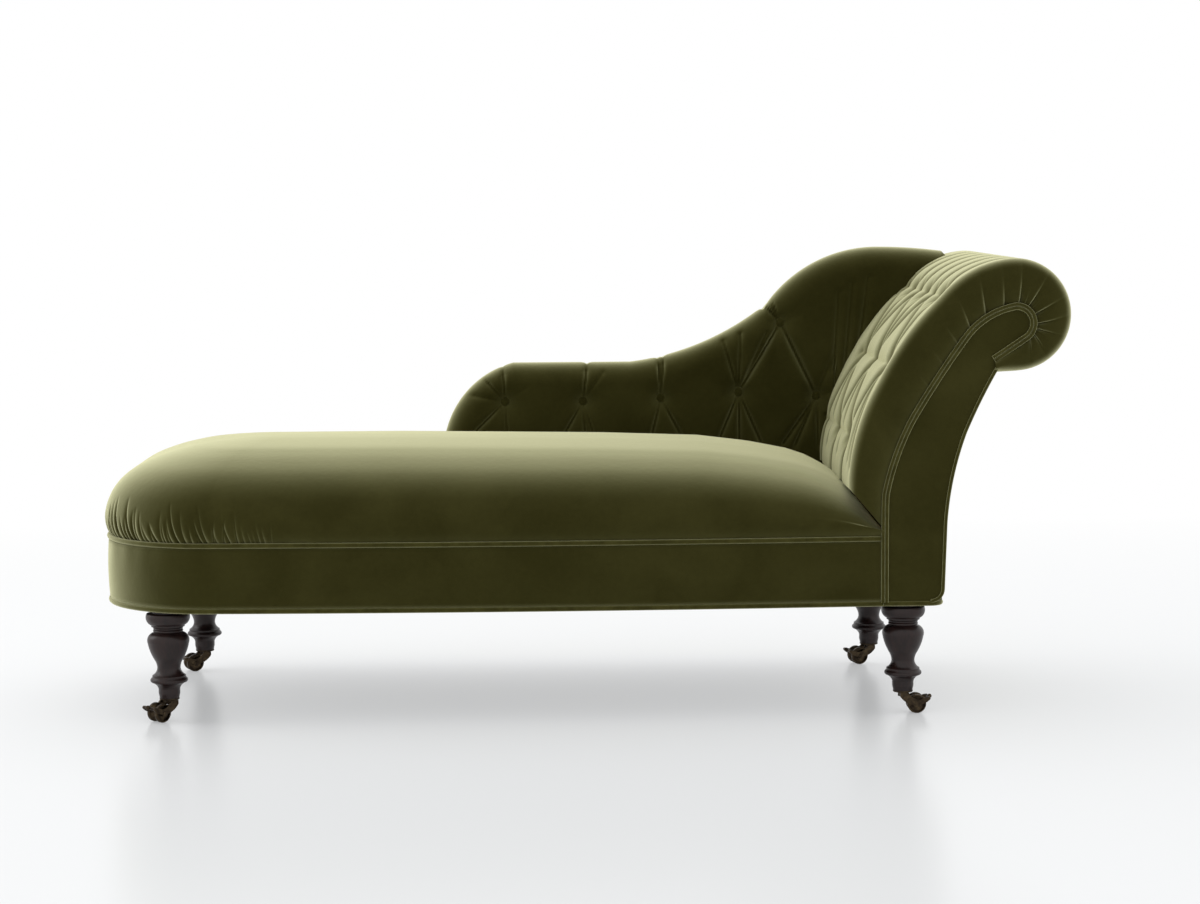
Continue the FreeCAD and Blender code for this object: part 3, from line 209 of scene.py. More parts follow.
# %% Folds and dimples
def valley(px, py, a, b, width, depth, fade=0.0):
    """Depth of a fold from a to b; fade is the share of the depth that b has lost."""
    ax, ay = a
    ex, ey = b[0] - ax, b[1] - ay
    run = math.hypot(ex, ey)
    ex, ey = ex / run, ey / run
    along = np.clip((px - ax) * ex + (py - ay) * ey, 0, run)
    away = np.hypot(px - ax - along * ex, py - ay - along * ey)
    return depth * (1 - fade * along / run) * np.exp(-((away / width) ** 1.15))


def dimple(px, py, centre, width, depth):
    """A round hollow, steep near its middle."""
    away = np.hypot(px - centre[0], py - centre[1]) / width
    return depth * np.exp(-(away ** 1.25))


def blended(depths, power=3.0):
    """The deepest of many folds at each point, with soft joins."""
    total = sum(np.maximum(d, 0) ** power for d in depths)
    return total ** (1 / power)


# %% [markdown]
# The whole piece is set out from a few lines: the plan of the seat, the sweep of the
# headrest and the top line of the side back. They are the carpenter's lines, written
# once here and used by every cover, welt and cord.

# %% Setting-out lines
HALF = 871.5
REAR, FRONT_FOOT, FRONT_HEAD = 322.0, -314.0, -300.0
PIPING_X, BACK_X = 535.5, 643.5
CORNER = 205.0
FRONT_BOW = 15.0
BOTTOM, WELT_Z, LOW_WELT_Z = 209.6, 322.5, 205.1
QUARTER = 1 - math.sqrt(0.5)
PANEL = 9.5
PANEL_EDGE = math.radians(40)


def plan_line(inset=0.0, end=PIPING_X):
    """Plan of the seat from the front of the headrest, round the foot, to the rear."""
    corner = (CORNER - inset) * QUARTER
    turn = -HALF + CORNER
    points = [
        (end, FRONT_HEAD + inset, -FRONT_BOW),
        (turn, FRONT_FOOT + inset, -corner),
        (-HALF + inset, FRONT_FOOT + CORNER, 0),
        (-HALF + inset, REAR - CORNER, -corner),
        (turn, REAR - inset, 0),
        (end, REAR - inset, 0),
    ]
    return bowed(points, (240, 120, 80, 120, 240))


SCROLL_X, SCROLL_Z, SCROLL_R = HALF - 100, 720.0, 100.0
EYE_X, EYE_Z, EYE_R = SCROLL_X, 706.0, 34.0
TUCK_X = HALF - 138
CREASE = (HALF - 397, 411.0)
ROWS = (5, 60, 62, 52, 52, 52, 12)


def pad_line():
    """Outer sweep of the headrest: crease, face, over the scroll and in to the tuck."""
    return bowed([
        (CREASE[0], CREASE[1], 0),
        (CREASE[0], 425, -10),
        (HALF - 344, 599, -8),
        (HALF - 233, 752, -16),
        (SCROLL_X, SCROLL_Z + SCROLL_R, -SCROLL_R * QUARTER),
        (SCROLL_X + SCROLL_R, SCROLL_Z, -SCROLL_R * QUARTER),
        (SCROLL_X, SCROLL_Z - SCROLL_R, 0),
        (TUCK_X, SCROLL_Z - SCROLL_R - 3, 0),
    ], ROWS)


def board_line(start=342.0):
    """Inner sweep, where the pad's border is sewn to the facing."""
    turn = math.radians(-52)
    return bowed([
        (PIPING_X, start, 0),
        (PIPING_X, 396, -6),
        (HALF - 286, 540, -2),
        (HALF - 193, 683, -11),
        (EYE_X, EYE_Z + EYE_R, -EYE_R * QUARTER),
        (EYE_X + EYE_R, EYE_Z, -EYE_R * 0.1),
        (EYE_X + EYE_R * math.cos(turn), EYE_Z + EYE_R * math.sin(turn), 0),
        (TUCK_X, 640, 0),
    ], ROWS)


def back_line(bottom=BOTTOM):
    """Outer back of the headrest, from the underside up to the tuck."""
    return bowed([
        (BACK_X, bottom, 0),
        (BACK_X + 4, 350, -6),
        (HALF - 190, 513, -2),
        (TUCK_X + 4, 627, 0),
    ], (30, 40, 30))


SIDE_START = -263.5


def side_line(drop=0.0):
    """Top line of the side back from its foot end to the headrest."""
    start = SIDE_START + drop
    return bowed([
        (start, 472 - drop, -26),
        (start + 134, 607 - drop, 0),
        (102.5, 607 - drop, 21),
        (375.5, 722 - drop, -30),
        (596.5, 831 - drop, -2),
        (721.5, 822 - drop, 0),
    ], (40, 40, 60, 60, 40))


# %% [markdown]
# ## The seat
# The seat is one big crown: it rises from the welt, swells a little over it, and
# flattens towards the middle. Seen from above, each point of the plan line is joined to
# a ridge, and one profile is followed along each join. At the foot the cover is too
# wide for the curve, so it is gathered into fine pleats just above the welt.

# %% Seat cover
RIDGE_X, RIDGE_Y, REACH = -549.5, 4.0, 322.0
SEAT_BASE = 320.5
CROWN = np.array([
    (7.5, 321.5), (1.5, 328), (-3.5, 340), (-5.5, 355), (-4.0, 371), (1.5, 390), (12, 411),
    (30, 431), (58, 449.5), (98, 465.5), (136, 476), (173, 483), (250, 490.5), (300, 492.6), (322, 492.8),
])
FALL_X = np.array([-900, -340, 37, 226, 321, 397, 434, 472, 501, 520, 540])
FALL = np.array([1, 1, 0.965, 0.925, 0.855, 0.765, 0.69, 0.565, 0.43, 0.31, 0.15])
SIDE_COLUMNS = np.interp(np.linspace(0, 1, 81), (0, 0.16, 0.8, 1), (PIPING_X, 450, -420, RIDGE_X))
FAN_COLUMNS = 980


def catmull(points, count):
    """A smooth line through a few points."""
    points = np.concatenate([2 * points[:1] - points[1:2], points, 2 * points[-1:] - points[-2:-1]])
    spots = []
    for i in range(1, len(points) - 2):
        p0, p1, p2, p3 = points[i - 1:i + 3]
        for share in np.arange(count) / count:
            s2, s3 = share * share, share ** 3
            spots.append(0.5 * (2 * p1 + (p2 - p0) * share + (2 * p0 - 5 * p1 + 4 * p2 - p3) * s2
                                + (3 * p1 - p0 - 3 * p2 + p3) * s3))
    spots.append(points[-2])
    return np.array(spots)


crown_line = catmull(CROWN, 12)
crown_walk = lengths(crown_line)
plan = plan_line()
plan_walk = lengths(plan)
fan_start = plan_walk[np.argmin(np.hypot(plan[:, 0] - RIDGE_X, plan[:, 1] - FRONT_FOOT))]
fan_end = plan_walk[np.argmin(np.hypot(plan[:, 0] - RIDGE_X, plan[:, 1] - REAR))]


def plan_stations():
    """Distances along the plan line for the seat's columns: sparse sides, dense foot."""
    front_x = np.linspace(0, fan_start, 400)
    front_walk = np.interp(-SIDE_COLUMNS, -at(plan, plan_walk, front_x)[:, 0], front_x)
    rear_x = np.linspace(fan_end, plan_walk[-1], 400)
    rear_walk = np.interp(SIDE_COLUMNS[::-1], at(plan, plan_walk, rear_x)[:, 0], rear_x)
    fan = np.linspace(front_walk[-1], rear_walk[0], FAN_COLUMNS + 1)[1:-1]
    return np.concatenate([front_walk, fan, rear_walk])


FULL_CLOTH = 80


def past_the_fan(walked):
    """How far a place on the plan line lies inside the full cloth of the foot end."""
    return np.minimum(walked - fan_start + FULL_CLOTH, fan_end + FULL_CLOTH - walked)


# %% [markdown]
# The gathers are walked out one by one round the foot. Each has its own place, width,
# height, depth and lean, and the first and last few are smaller.

# %% Gathers
stations = plan_stations()
GATHERS_BEYOND = 62
GATHER_CAP = 8.5
chance = random.Random(7)
gathers = []
walked = fan_start - GATHERS_BEYOND
while walked < fan_end + GATHERS_BEYOND:
    size = 0.5 + 0.5 * min(1, max(0.25, past_the_fan(walked) / 170))
    place = walked
    width = chance.uniform(2.0, 3.8)
    tall = chance.uniform(36, 84) * size
    depth = chance.uniform(3.6, 7.4) * size
    lean = chance.uniform(-0.1, 0.3)
    gathers.append((place, width, tall, depth, lean))
    walked += chance.uniform(6.5, 15)
print(len(gathers), "gathers round the foot")

# %% Seat cover as a grid
SEAT_ROWS = 74
UNDER_SHARE = 0.12
FRONT_OF_BACK = 276
CREASE_PLACES, CREASE_HEIGHTS = (468, 474.5, 535.5), (520, 417, 338)


def seat_rule(across, along):
    """Columns stand along the plan line; rows run under the edge, up the crown and in to the ridge."""
    column = np.clip(np.rint(across * (len(stations) - 1)).astype(int), 0, len(stations) - 1)
    walked = stations[column]
    edge = at(plan, plan_walk, walked)
    ahead_of = at(plan, plan_walk, walked + 2) - at(plan, plan_walk, walked - 2)
    ahead_of /= np.linalg.norm(ahead_of, axis=1)[:, None]
    outward = np.stack([-ahead_of[:, 1], ahead_of[:, 0]], 1)
    ridge = np.stack([np.maximum(edge[:, 0], RIDGE_X), np.full(len(edge), RIDGE_Y)], 1)
    top = np.clip((along - UNDER_SHARE) / (1 - UNDER_SHARE), 0, 1)
    walk = np.interp(top, (0, 0.45, 1), (0, 105, crown_walk[-1]))
    inset = np.interp(walk, crown_walk, crown_line[:, 0])
    height = np.interp(walk, crown_walk, crown_line[:, 1]) - SEAT_BASE
    under = along < UNDER_SHARE
    inset = np.where(under, np.interp(along, (0, UNDER_SHARE), (REACH, CROWN[0, 0])), inset)
    height = np.where(under, 0.0, height)
    share = (inset / REACH)[:, None]
    spot = edge + (ridge - edge) * share
    fall = np.interp(spot[:, 0], FALL_X, FALL)
    low = np.clip(height / 60, 0, 1)
    height = height * (1 + (fall - 1) * low)
    sunk = np.zeros(len(edge))
    for where, width, tall, depth, lean in gathers:
        away = np.abs(walked - where - lean * height) / width
        close = away < 6
        rise = np.clip(1 - height / tall, 0, 1) ** 0.8
        sunk = sunk + np.where(close, depth * np.exp(-(away ** 1.2)) * rise, 0)
    full = np.clip(height / 8, 0, 1) * np.clip(1 - height / 90, 0, 1)
    swell = 1.6 * full * (past_the_fan(walked) > 0)
    sunk = np.minimum(sunk, GATHER_CAP) * np.clip(height / 3, 0, 1)
    spot = spot + outward * (swell - sunk)[:, None]
    z = SEAT_BASE + height
    z = np.minimum(z, np.interp(spot[:, 0], CREASE_PLACES, CREASE_HEIGHTS))
    beside_back = spot[:, 0] > SIDE_START + 4
    y = np.where(beside_back, np.minimum(spot[:, 1], FRONT_OF_BACK), spot[:, 1])
    return np.stack([spot[:, 0], y, z], 1)


seat = shaped_grid("seat_cover", len(stations) - 1, SEAT_ROWS, seat_rule)
close_up(seat, fill=True)
print("seat:", len(seat.data.polygons), "faces")

# %% [markdown]
# ## Border and welts
# Under the crown a straight band of velvet covers the rails. A welt, a cord in a strip
# of the same cloth, hides the seam above it and another hangs below. A band is a thin
# closed section carried along the plan line, and a cord is a round section carried the
# same way.


# %% Helpers for bands and cords
def swept(name, line, section, columns, wobble):
    """Carry a closed section of (out, up) points along a level line of (x, y) points."""
    walk = lengths(line)
    section = np.array(section, float)

    def rule(across, along):
        where = across * walk[-1]
        spot = at(line, walk, where)
        way = at(line, walk, where + 1.5) - at(line, walk, where - 1.5)
        way /= np.linalg.norm(way, axis=1)[:, None]
        out = np.stack([-way[:, 1], way[:, 0]], 1)
        ring = along * (len(section) - 1)
        push = np.interp(ring, np.arange(len(section)), section[:, 0])
        lift = np.interp(ring, np.arange(len(section)), section[:, 1])
        spot = spot + out * (push + wobble(where, lift, push))[:, None]
        return np.stack([spot[:, 0], spot[:, 1], lift], 1)

    return close_up(shaped_grid(name, columns, len(section) - 1, rule), fill=True)


def cord(name, line, width):
    """A round cord along points in space, in millimetres."""
    drop_selection()
    bpy.ops.curve.primitive_nurbs_path_add()
    data = bpy.context.object.data
    data.splines.clear()
    spline = data.splines.new("POLY")
    spline.points.add(len(line) - 1)
    for point, spot in zip(spline.points, line):
        point.co = (spot[0] * MM, spot[1] * MM, spot[2] * MM, 1)
    data.bevel_depth = width / 2 * MM
    data.bevel_resolution = 4
    data.use_fill_caps = True
    data.twist_mode = "MINIMUM"
    bpy.ops.object.convert(target="MESH")
    piece = bpy.context.object
    piece.name = piece.data.name = name
    bpy.ops.object.shade_smooth()
    return piece


# %% Border band and its welts
def border_soft(where, lift, push):
    """The band's cloth isn't dead flat: slow drift all along, small pulls at the foot."""
    up = (lift - BOTTOM) / 108
    slow = 0.7 * np.sin(where / 97 + np.sin(where / 41)) * np.sin(up * math.pi)
    foot = np.exp(-((where - (fan_start + fan_end) / 2) / 420) ** 2)
    pulls = 0.5 * foot * np.sin(where / 9.5 + 2 * np.sin(where / 53)) * np.clip((lift - 250) / 60, 0, 1)
    return np.where(push > -1, slow + pulls, 0)


BAND_TOP, BAND_IN = 318, -8.5
WELT = 9.4
END_CORNER = 22.0
face_up = np.linspace(BOTTOM, BAND_TOP, 14)
bulged = [(0.6 + 1.6 * math.sin((z - BOTTOM) / (BAND_TOP - BOTTOM) * math.pi), z) for z in face_up]
band_section = [(BAND_IN, 211)] + bulged + [(BAND_IN, 317), (BAND_IN, 211)]
border = swept("border_band", plan_line(0, PIPING_X - 3), band_section, 699, border_soft)
upper_welt = cord("upper_welt", flat_line(plan_line(1.0, PIPING_X - 4)[::2], WELT_Z), WELT)


def low_welt_line(inset=1.5):
    """The lower welt goes right round: the seat's plan line, then the headrest's base."""
    line = plan_line(inset)[::2]
    far = BACK_X - inset
    front, rear = line[0][1], line[-1][1]
    tail = bowed([
        (PIPING_X + 2, rear, 0),
        (far - END_CORNER, rear, END_CORNER * -QUARTER),
        (far, rear - END_CORNER, 0),
        (far, front + END_CORNER, END_CORNER * -QUARTER),
        (far - END_CORNER, front, 0),
        (PIPING_X + 1, front, 0),
    ], (10, 14, 60, 14, 10))
    return np.concatenate([line, tail])


lower_welt = cord("lower_welt", flat_line(low_welt_line(), LOW_WELT_Z), WELT)
print("welts:", len(upper_welt.data.polygons), len(lower_welt.data.polygons), "faces")

# %% [markdown]
# ## The headrest
# One padded cover runs from the crease of the seat up the face, over the scroll and in
# behind it. At both ends it turns over a soft edge and is sewn to the flat facing, in
# pleats where it has to travel round the scroll. The face is buttoned: folds run from
# button to button and straight over the crest, and the cloth between them stands up.

# %% Headrest lines
SMOOTHING = 9
outer = eased(pad_line(), SMOOTHING)
inner = eased(board_line(), SMOOTHING)
outer_walk = lengths(outer)
border_width = np.linalg.norm(inner - outer, axis=1)
tangent = np.gradient(outer, outer_walk, axis=0)
tangent /= np.linalg.norm(tangent, axis=1)[:, None]
normal = np.stack([-tangent[:, 1], tangent[:, 0]], 1)
crest = np.argmax(outer[:, 1])


def walk_at_height(z):
    """Distance from the crease to a height on the headrest's face."""
    return float(np.interp(z, outer[:crest, 1], outer_walk[:crest]))


LOW_ROW, MID_ROW, HIGH_ROW = (walk_at_height(z) for z in (497, 634, 757))
TUFT_STEP = 88
HIGH_TUFTS = list(range(-228, 213, TUFT_STEP))
MID_TUFTS = HIGH_TUFTS[::2]
LOW_TUFTS = HIGH_TUFTS[1:4:2]
LAST_TUFT = HIGH_TUFTS[-1]
OVER = outer_walk[-1]

# %% Headrest folds
folds = []
for y in HIGH_TUFTS:
    lean = 6 * math.sin(y / 60)
    folds.append(((y, HIGH_ROW), (y + lean, OVER), 8.5, 10.5, 0.35))
for y in MID_TUFTS:
    folds.append(((y, MID_ROW), (y, HIGH_ROW), 9, 8, 0.25))
for y in HIGH_TUFTS:
    for under in MID_TUFTS:
        if abs(y - under) == TUFT_STEP:
            folds.append(((under, MID_ROW), (y, HIGH_ROW), 9, 9, 0.0))
for under in LOW_TUFTS + [LAST_TUFT]:
    for y in MID_TUFTS:
        if abs(y - under) == TUFT_STEP:
            folds.append(((y, MID_ROW), (under, LOW_ROW), 9, 9, 0.15))
for y in MID_TUFTS:
    folds.append(((y, MID_ROW), (y + 3, LOW_ROW - 40), 7, 6, 0.6))
for y in LOW_TUFTS + [LAST_TUFT]:
    folds.append(((y, LOW_ROW), (y, 0.0), 9, 10, 0.2))
folds.append(((-228, MID_ROW), (-262, 40.0), 9, 7, 0.5))
folds += [
    ((-240, HIGH_ROW), (230, HIGH_ROW), 13, 6.5, 0.0),
    ((-240, MID_ROW), (150, MID_ROW), 13, 8.0, 0.0),
    ((-170, LOW_ROW), (230, LOW_ROW), 13, 6.0, 0.0),
]
SHORT_FOLDS = [(-15, 52), (17, 46), (-31, 34), (30, 38), (-13, -44), (18, -48), (-33, -30), (32, -34)]
tuft_spots = [(y, HIGH_ROW) for y in HIGH_TUFTS] + [(y, MID_ROW) for y in MID_TUFTS]
for y, walk in tuft_spots:
    for aside, up in SHORT_FOLDS:
        folds.append(((y, walk), (y + aside, walk + up), 4.5, 8.5, 0.95))
tuft_spots += [(y, LOW_ROW) for y in LOW_TUFTS]
DEEP_TUFT, TUFT_WIDTH = 19.0, 21.0
SHALLOW = {(y, HIGH_ROW) for y in HIGH_TUFTS[1::2]}


def headrest_depth(y, walk):
    """How far the face is drawn in, at a place across and along the headrest."""
    depths = [valley(y, walk, a, b, width, depth, fade) for a, b, width, depth, fade in folds]
    for spot in tuft_spots:
        deep = DEEP_TUFT * (0.62 if spot in SHALLOW else 1)
        depths.append(dimple(y, walk, spot, TUFT_WIDTH, deep))
    return blended(depths)


# %% Headrest section, from one facing to the other
ROLL_Y, ROLL_IN, BELLY = 20.0, 15.0, 9.0
FRONT_Y, REAR_Y = -300.0, 322.0
RING_COLUMNS, ROLL_COLUMNS, FACE_COLUMNS = 16, 12, 196
HEAD_COLUMNS = 2 * (RING_COLUMNS + ROLL_COLUMNS) + FACE_COLUMNS
HEAD_ROWS = 440
pleat_rows = [(0.30, 0.4), (0.36, 0.5), (0.415, 0.6), (0.465, 0.8), (0.52, 1.0), (0.575, 0.9), (0.625, 1.0),
              (0.655, 0.45), (0.68, 1.0), (0.70, 0.5), (0.735, 1.0), (0.76, 0.4), (0.79, 1.0), (0.83, 0.95),
              (0.85, 0.4), (0.88, 0.9), (0.93, 0.8), (0.965, 0.6)]


def ring_pleats(share, walk):
    """Pleats on the border, laid over to one side, deepest where it is sewn to the facing."""
    sunk = np.zeros(len(walk))
    for k, (place, strength) in enumerate(pleat_rows):
        lean = 9 * math.sin(5.1 * k) * (1 - share)
        past = walk - place * OVER - lean
        width = np.where(past < 0, 2.4, 7.5) * (1.0 + 0.8 * (1 - share))
        reach = np.clip((share - 0.9 + strength * 0.95) / 0.9, 0, 1) ** 0.8 * (0.35 + 0.65 * share)
        sunk = np.maximum(sunk, 8.0 * strength * reach * np.exp(-((np.abs(past) / width) ** 1.3)))
    return sunk


def head_rule(across, along):
    """Rows follow the sweep; columns cross a border, a rolled edge, the face and back again."""
    row = along * (len(outer) - 1)
    steps = np.arange(len(outer))
    column = across * HEAD_COLUMNS
    mirrored = np.minimum(column, HEAD_COLUMNS - column)
    rear = column < HEAD_COLUMNS / 2
    ring = np.clip(1 - mirrored / RING_COLUMNS, 0, 1)
    roll = np.clip((mirrored - RING_COLUMNS) / ROLL_COLUMNS, 0, 1)
    face = np.clip((mirrored - RING_COLUMNS - ROLL_COLUMNS) / (FACE_COLUMNS / 2), 0, 1)
    place = np.stack([np.interp(row, steps, outer[:, i]) for i in (0, 1)], 1)
    seam = np.stack([np.interp(row, steps, inner[:, i]) for i in (0, 1)], 1)
    out = np.stack([np.interp(row, steps, normal[:, i]) for i in (0, 1)], 1)
    walk = np.interp(row, steps, outer_walk)
    width = np.interp(row, steps, border_width)
    rolled_in = np.minimum(ROLL_IN, width * 0.45)
    angle = (1 - roll) * math.pi / 2
    middle = (FRONT_Y + REAR_Y) / 2
    half = (REAR_Y - FRONT_Y) / 2
    off = np.where(face > 0, (half - ROLL_Y) * (1 - face), half - ROLL_Y * (1 - np.sin(angle)))
    inward = np.where(face > 0, 0, rolled_in * (1 - np.cos(angle)))
    inward = np.where(ring > 0, rolled_in + (width - rolled_in) * ring, inward)
    share = np.clip(inward / width, 0, 1)
    off = off + BELLY * np.sin(np.clip(share * 1.02, 0, 1) * math.pi) ** 0.7 - 1.5 * ring ** 4
    side = np.where(rear, 1, -1)
    y = middle + side * off
    # The folds die out before the rolled edge.
    sunk = headrest_depth(y, walk) * np.clip(1 - share * 3.2, 0, 1) * (1 - 0.75 * np.exp(-(half - off) / 16))
    sunk = np.where(ring > 0, 0, sunk)
    # The stuffing stands 2 mm proud in the middle of the sweep and 2 mm short at its ends.
    fullness = 4.0 * np.sin(np.clip(walk / OVER, 0, 1) * math.pi) ** 0.5 - 2.0
    spot = place + (seam - place) * share[:, None] + out * ((fullness * (1 - share)) - sunk)[:, None]
    pleats = ring_pleats(share, walk) * (share > 0.02)
    y = y - side * pleats
    return np.stack([spot[:, 0], y, spot[:, 1]], 1)


headrest = shaped_grid("headrest_cover", HEAD_COLUMNS, HEAD_ROWS, head_rule)
close_up(headrest, near=0.001)
print("headrest:", len(headrest.data.polygons), "faces")


# %% [markdown]
# ## Facings and cords of the headrest
# The flat facings close the two ends. Each has a doubled cord where the border meets it
# and a single cord down its back edge, which turns the lower corner to meet the welt.


# %% Facings
def base_corner(count):
    """The rounded lower corner, from the back edge round to the underside."""
    turn = np.linspace(math.pi / 2, 0, count)
    return np.stack([BACK_X - END_CORNER * (1 - np.sin(turn)), BOTTOM + END_CORNER * (1 - np.cos(turn))], 1)


def facing(name, y, side):
    """A flat panel between the inner sweep and the outer back, with softened edges."""
    back = back_line()[::-1]
    back = np.concatenate([back[back[:, 1] > BOTTOM + END_CORNER], base_corner(9)])
    outline = np.concatenate([board_line(BOTTOM)[::3], back[::2]])
    piece = flat_panel(name, upright_line(outline, y), (0, -side * PANEL, 0))[0]
    bpy.ops.object.shade_smooth_by_angle(angle=PANEL_EDGE)
    return piece


facings = [facing("facing_front", FRONT_Y - 0.5, -1), facing("facing_rear", REAR_Y + 0.5, 1)]


# %% Cords of the facings
def beside(line, offset):
    """The same line, moved to its left by an offset."""
    way = np.gradient(line, lengths(line), axis=0)
    way /= np.linalg.norm(way, axis=1)[:, None]
    return line + np.stack([-way[:, 1], way[:, 0]], 1) * offset


CORD = 6.4
head_cords = []
for name, y, side in (("front", FRONT_Y, -1), ("rear", REAR_Y, 1)):
    sewn = eased(board_line(BOTTOM - 2), 3)
    back = np.concatenate([base_corner(10)[::-1], back_line(BOTTOM + END_CORNER)])
    runs = [(sewn, 3.4), (beside(sewn, -6.6), 3.2), (back, 2.2)]
    cords = [cord("run", upright_line(line, y + side * (off - 1.2)), CORD) for line, off in runs]
    head_cords.append(joined(f"facing_cords_{name}", cords))


# %% [markdown]
# ## The outer back
# Behind, a plain panel of velvet is stretched from the underside up to the tuck below
# the scroll. It is a little full, so it is a curved sheet and not a board.

# %% Outer back of the headrest
back_edge = back_line()
back_walk = lengths(back_edge)


def back_rule(across, along):
    """Up the outside and down the inside of the sheet; along runs from front to rear."""
    ring = across * 2
    inside = ring > 1
    share = np.where(inside, 2 - ring, ring)
    place = at(back_edge, back_walk, share * back_walk[-1])
    y = (FRONT_Y + 8) + along * (REAR_Y - FRONT_Y - 16)
    full = 3.0 * np.sin(share * math.pi) ** 0.6 * np.sin(along * math.pi) ** 0.5
    x = place[:, 0] + np.where(inside, -7.5, full - 0.8)
    return np.stack([x, y, place[:, 1]], 1)


outer_back = shaped_grid("outer_back_cover", 80, 60, back_rule)
close_up(outer_back, fill=True)

# %% [markdown]
# ## The side back
# The shaped back along the rear is a pillow on a board: full in front, round on top and
# short behind, where its edge is tacked. Six buttons pull it in. Each draws a pair of
# folds up to the top edge and two or three that splay down behind the seat.

# %% Side back folds
SIDE_ROW = [(-145.5, 531), (8.5, 531), (162.5, 536), (316.5, 546), (470.5, 538)]
HIGH_BUTTON = (399.5, 683)
side_fans = [
    (SIDE_ROW[0], [
        ((-196, 588), 5, 4.5, 0.5), ((-150, 604), 4.5, 5, 0.3), ((-240, 552), 6, 4, 0.8),
        ((-216, 462), 5, 5, 0.4), ((-141, 455), 5, 4, 0.4), ((-100, 560), 6, 3, 1.0),
    ]),
    (SIDE_ROW[1], [
        ((17, 607), 5, 5.5, 0.2), ((48, 588), 5, 3.5, 0.8), ((-34, 458), 5, 5, 0.3),
        ((12, 455), 4.5, 4.5, 0.4), ((32, 455), 4.5, 4, 0.5),
    ]),
    (SIDE_ROW[2], [
        ((157, 616), 3.6, 5.5, 0.1), ((168, 617), 3.6, 5, 0.1),
        ((142, 455), 5, 5, 0.3), ((206, 455), 5, 5, 0.3),
    ]),
    (SIDE_ROW[3], [
        ((286, 648), 6, 5, 0.6), ((320, 662), 5, 4.5, 0.5), ((392, 672), 5.5, 6.5, 0.0),
        ((372, 664), 5, 4.5, 0.5), ((276, 450), 5, 5.5, 0.3), ((318, 448), 4.5, 5, 0.3),
        ((360, 448), 5, 5.5, 0.3),
    ]),
    (SIDE_ROW[4], [
        (HIGH_BUTTON, 6, 6.5, 0.0), ((512, 640), 8, 4, 0.8), ((405, 445), 5, 5.5, 0.3),
        ((428, 440), 4.5, 5, 0.3), ((474, 440), 4.5, 4.5, 0.4), ((548, 560), 7, 4, 0.6),
    ]),
    (HIGH_BUTTON, [
        ((368, 720), 4.5, 6.5, 0.0), ((382, 728), 4.5, 4.5, 0.4), ((440, 700), 6, 4, 1.0),
    ]),
]
loose_pleats = [
    ((505, 590), (514, 742), 8, 4.5, 0.6), ((528, 600), (541, 760), 7, 4.0, 0.7),
    ((556, 640), (572, 772), 8, 4.5, 0.7), ((490, 500), (520, 470), 6, 3, 0.8),
]
side_folds = [(start, *fold) for start, fan in side_fans for fold in fan] + loose_pleats
FOLD_WIDTH, FOLD_DEPTH, FOLD_FADE = 0.9, 2.3, 0.8
SIDE_DIMPLE = (19, 23)

# %% Outline of the side back
SIDE_FRONT, SIDE_CREST, SIDE_BACK = 233.0, 276.0, 311.5
side_top = side_line()
side_outline = np.concatenate([[(SIDE_START, z) for z in np.linspace(320, 470, 40)], side_top])
SIDE_END, SIDE_DROPS = 740.0, 721.5
NICKS = [(17, 4.5), (157, 3.5), (168, 3.5), (367, 7.0), (-150, 2.0)]


def top_height(x):
    """Top line of the side back, nicked over its buttons and falling away in the headrest."""
    height = np.interp(x, side_top[:, 0], side_top[:, 1])
    for place, deep in NICKS:
        height = height - deep * np.exp(-((np.abs(x - place) / 5) ** 1.2))
    return np.where(x > SIDE_DROPS, height - (x - SIDE_DROPS) * 1.9, height)


def foot_height(x):
    """Lower edge of the side back: the seat's base, then up inside the headrest."""
    inside = np.interp(x, outer[:crest, 0] + 32, outer[:crest, 1], left=SEAT_BASE)
    return np.minimum(inside, top_height(x) - 60)


def outline_gap(x, z):
    """Distance of points from the side back's outline."""
    gap = np.full(len(x), 1e9)
    for (ax, az), (bx, bz) in zip(side_outline, side_outline[1:]):
        run = max((bx - ax) ** 2 + (bz - az) ** 2, 1e-9)
        share = np.clip(((x - ax) * (bx - ax) + (z - az) * (bz - az)) / run, 0, 1)
        gap = np.minimum(gap, np.hypot(x - ax - share * (bx - ax), z - az - share * (bz - az)))
    return gap


def side_sunk(x, z):
    """How far the front is drawn in by its buttons and folds."""
    depths = [valley(x, z, a, b, width * FOLD_WIDTH, depth * FOLD_DEPTH, fade * FOLD_FADE)
              for a, b, width, depth, fade in side_folds]
    depths += [dimple(x, z, spot, *SIDE_DIMPLE) for spot in SIDE_ROW + [HIGH_BUTTON]]
    return blended(depths)


FOOT_ROUND = 46
side_x = np.unique(np.concatenate([
    SIDE_START + FOOT_ROUND * (1 - np.cos(np.linspace(0, math.pi / 2, 16))),
    np.linspace(SIDE_START + FOOT_ROUND, 600, 290), np.linspace(600, SIDE_END, 30),
]))
UNDER_ROWS, FRONT_ROWS, BACK_ROWS = 3, 130, 26
CREST_TALL, CREST_FROM = 46, 0.72
FRONT_ROUND, BACK_ROUND = 42, 27


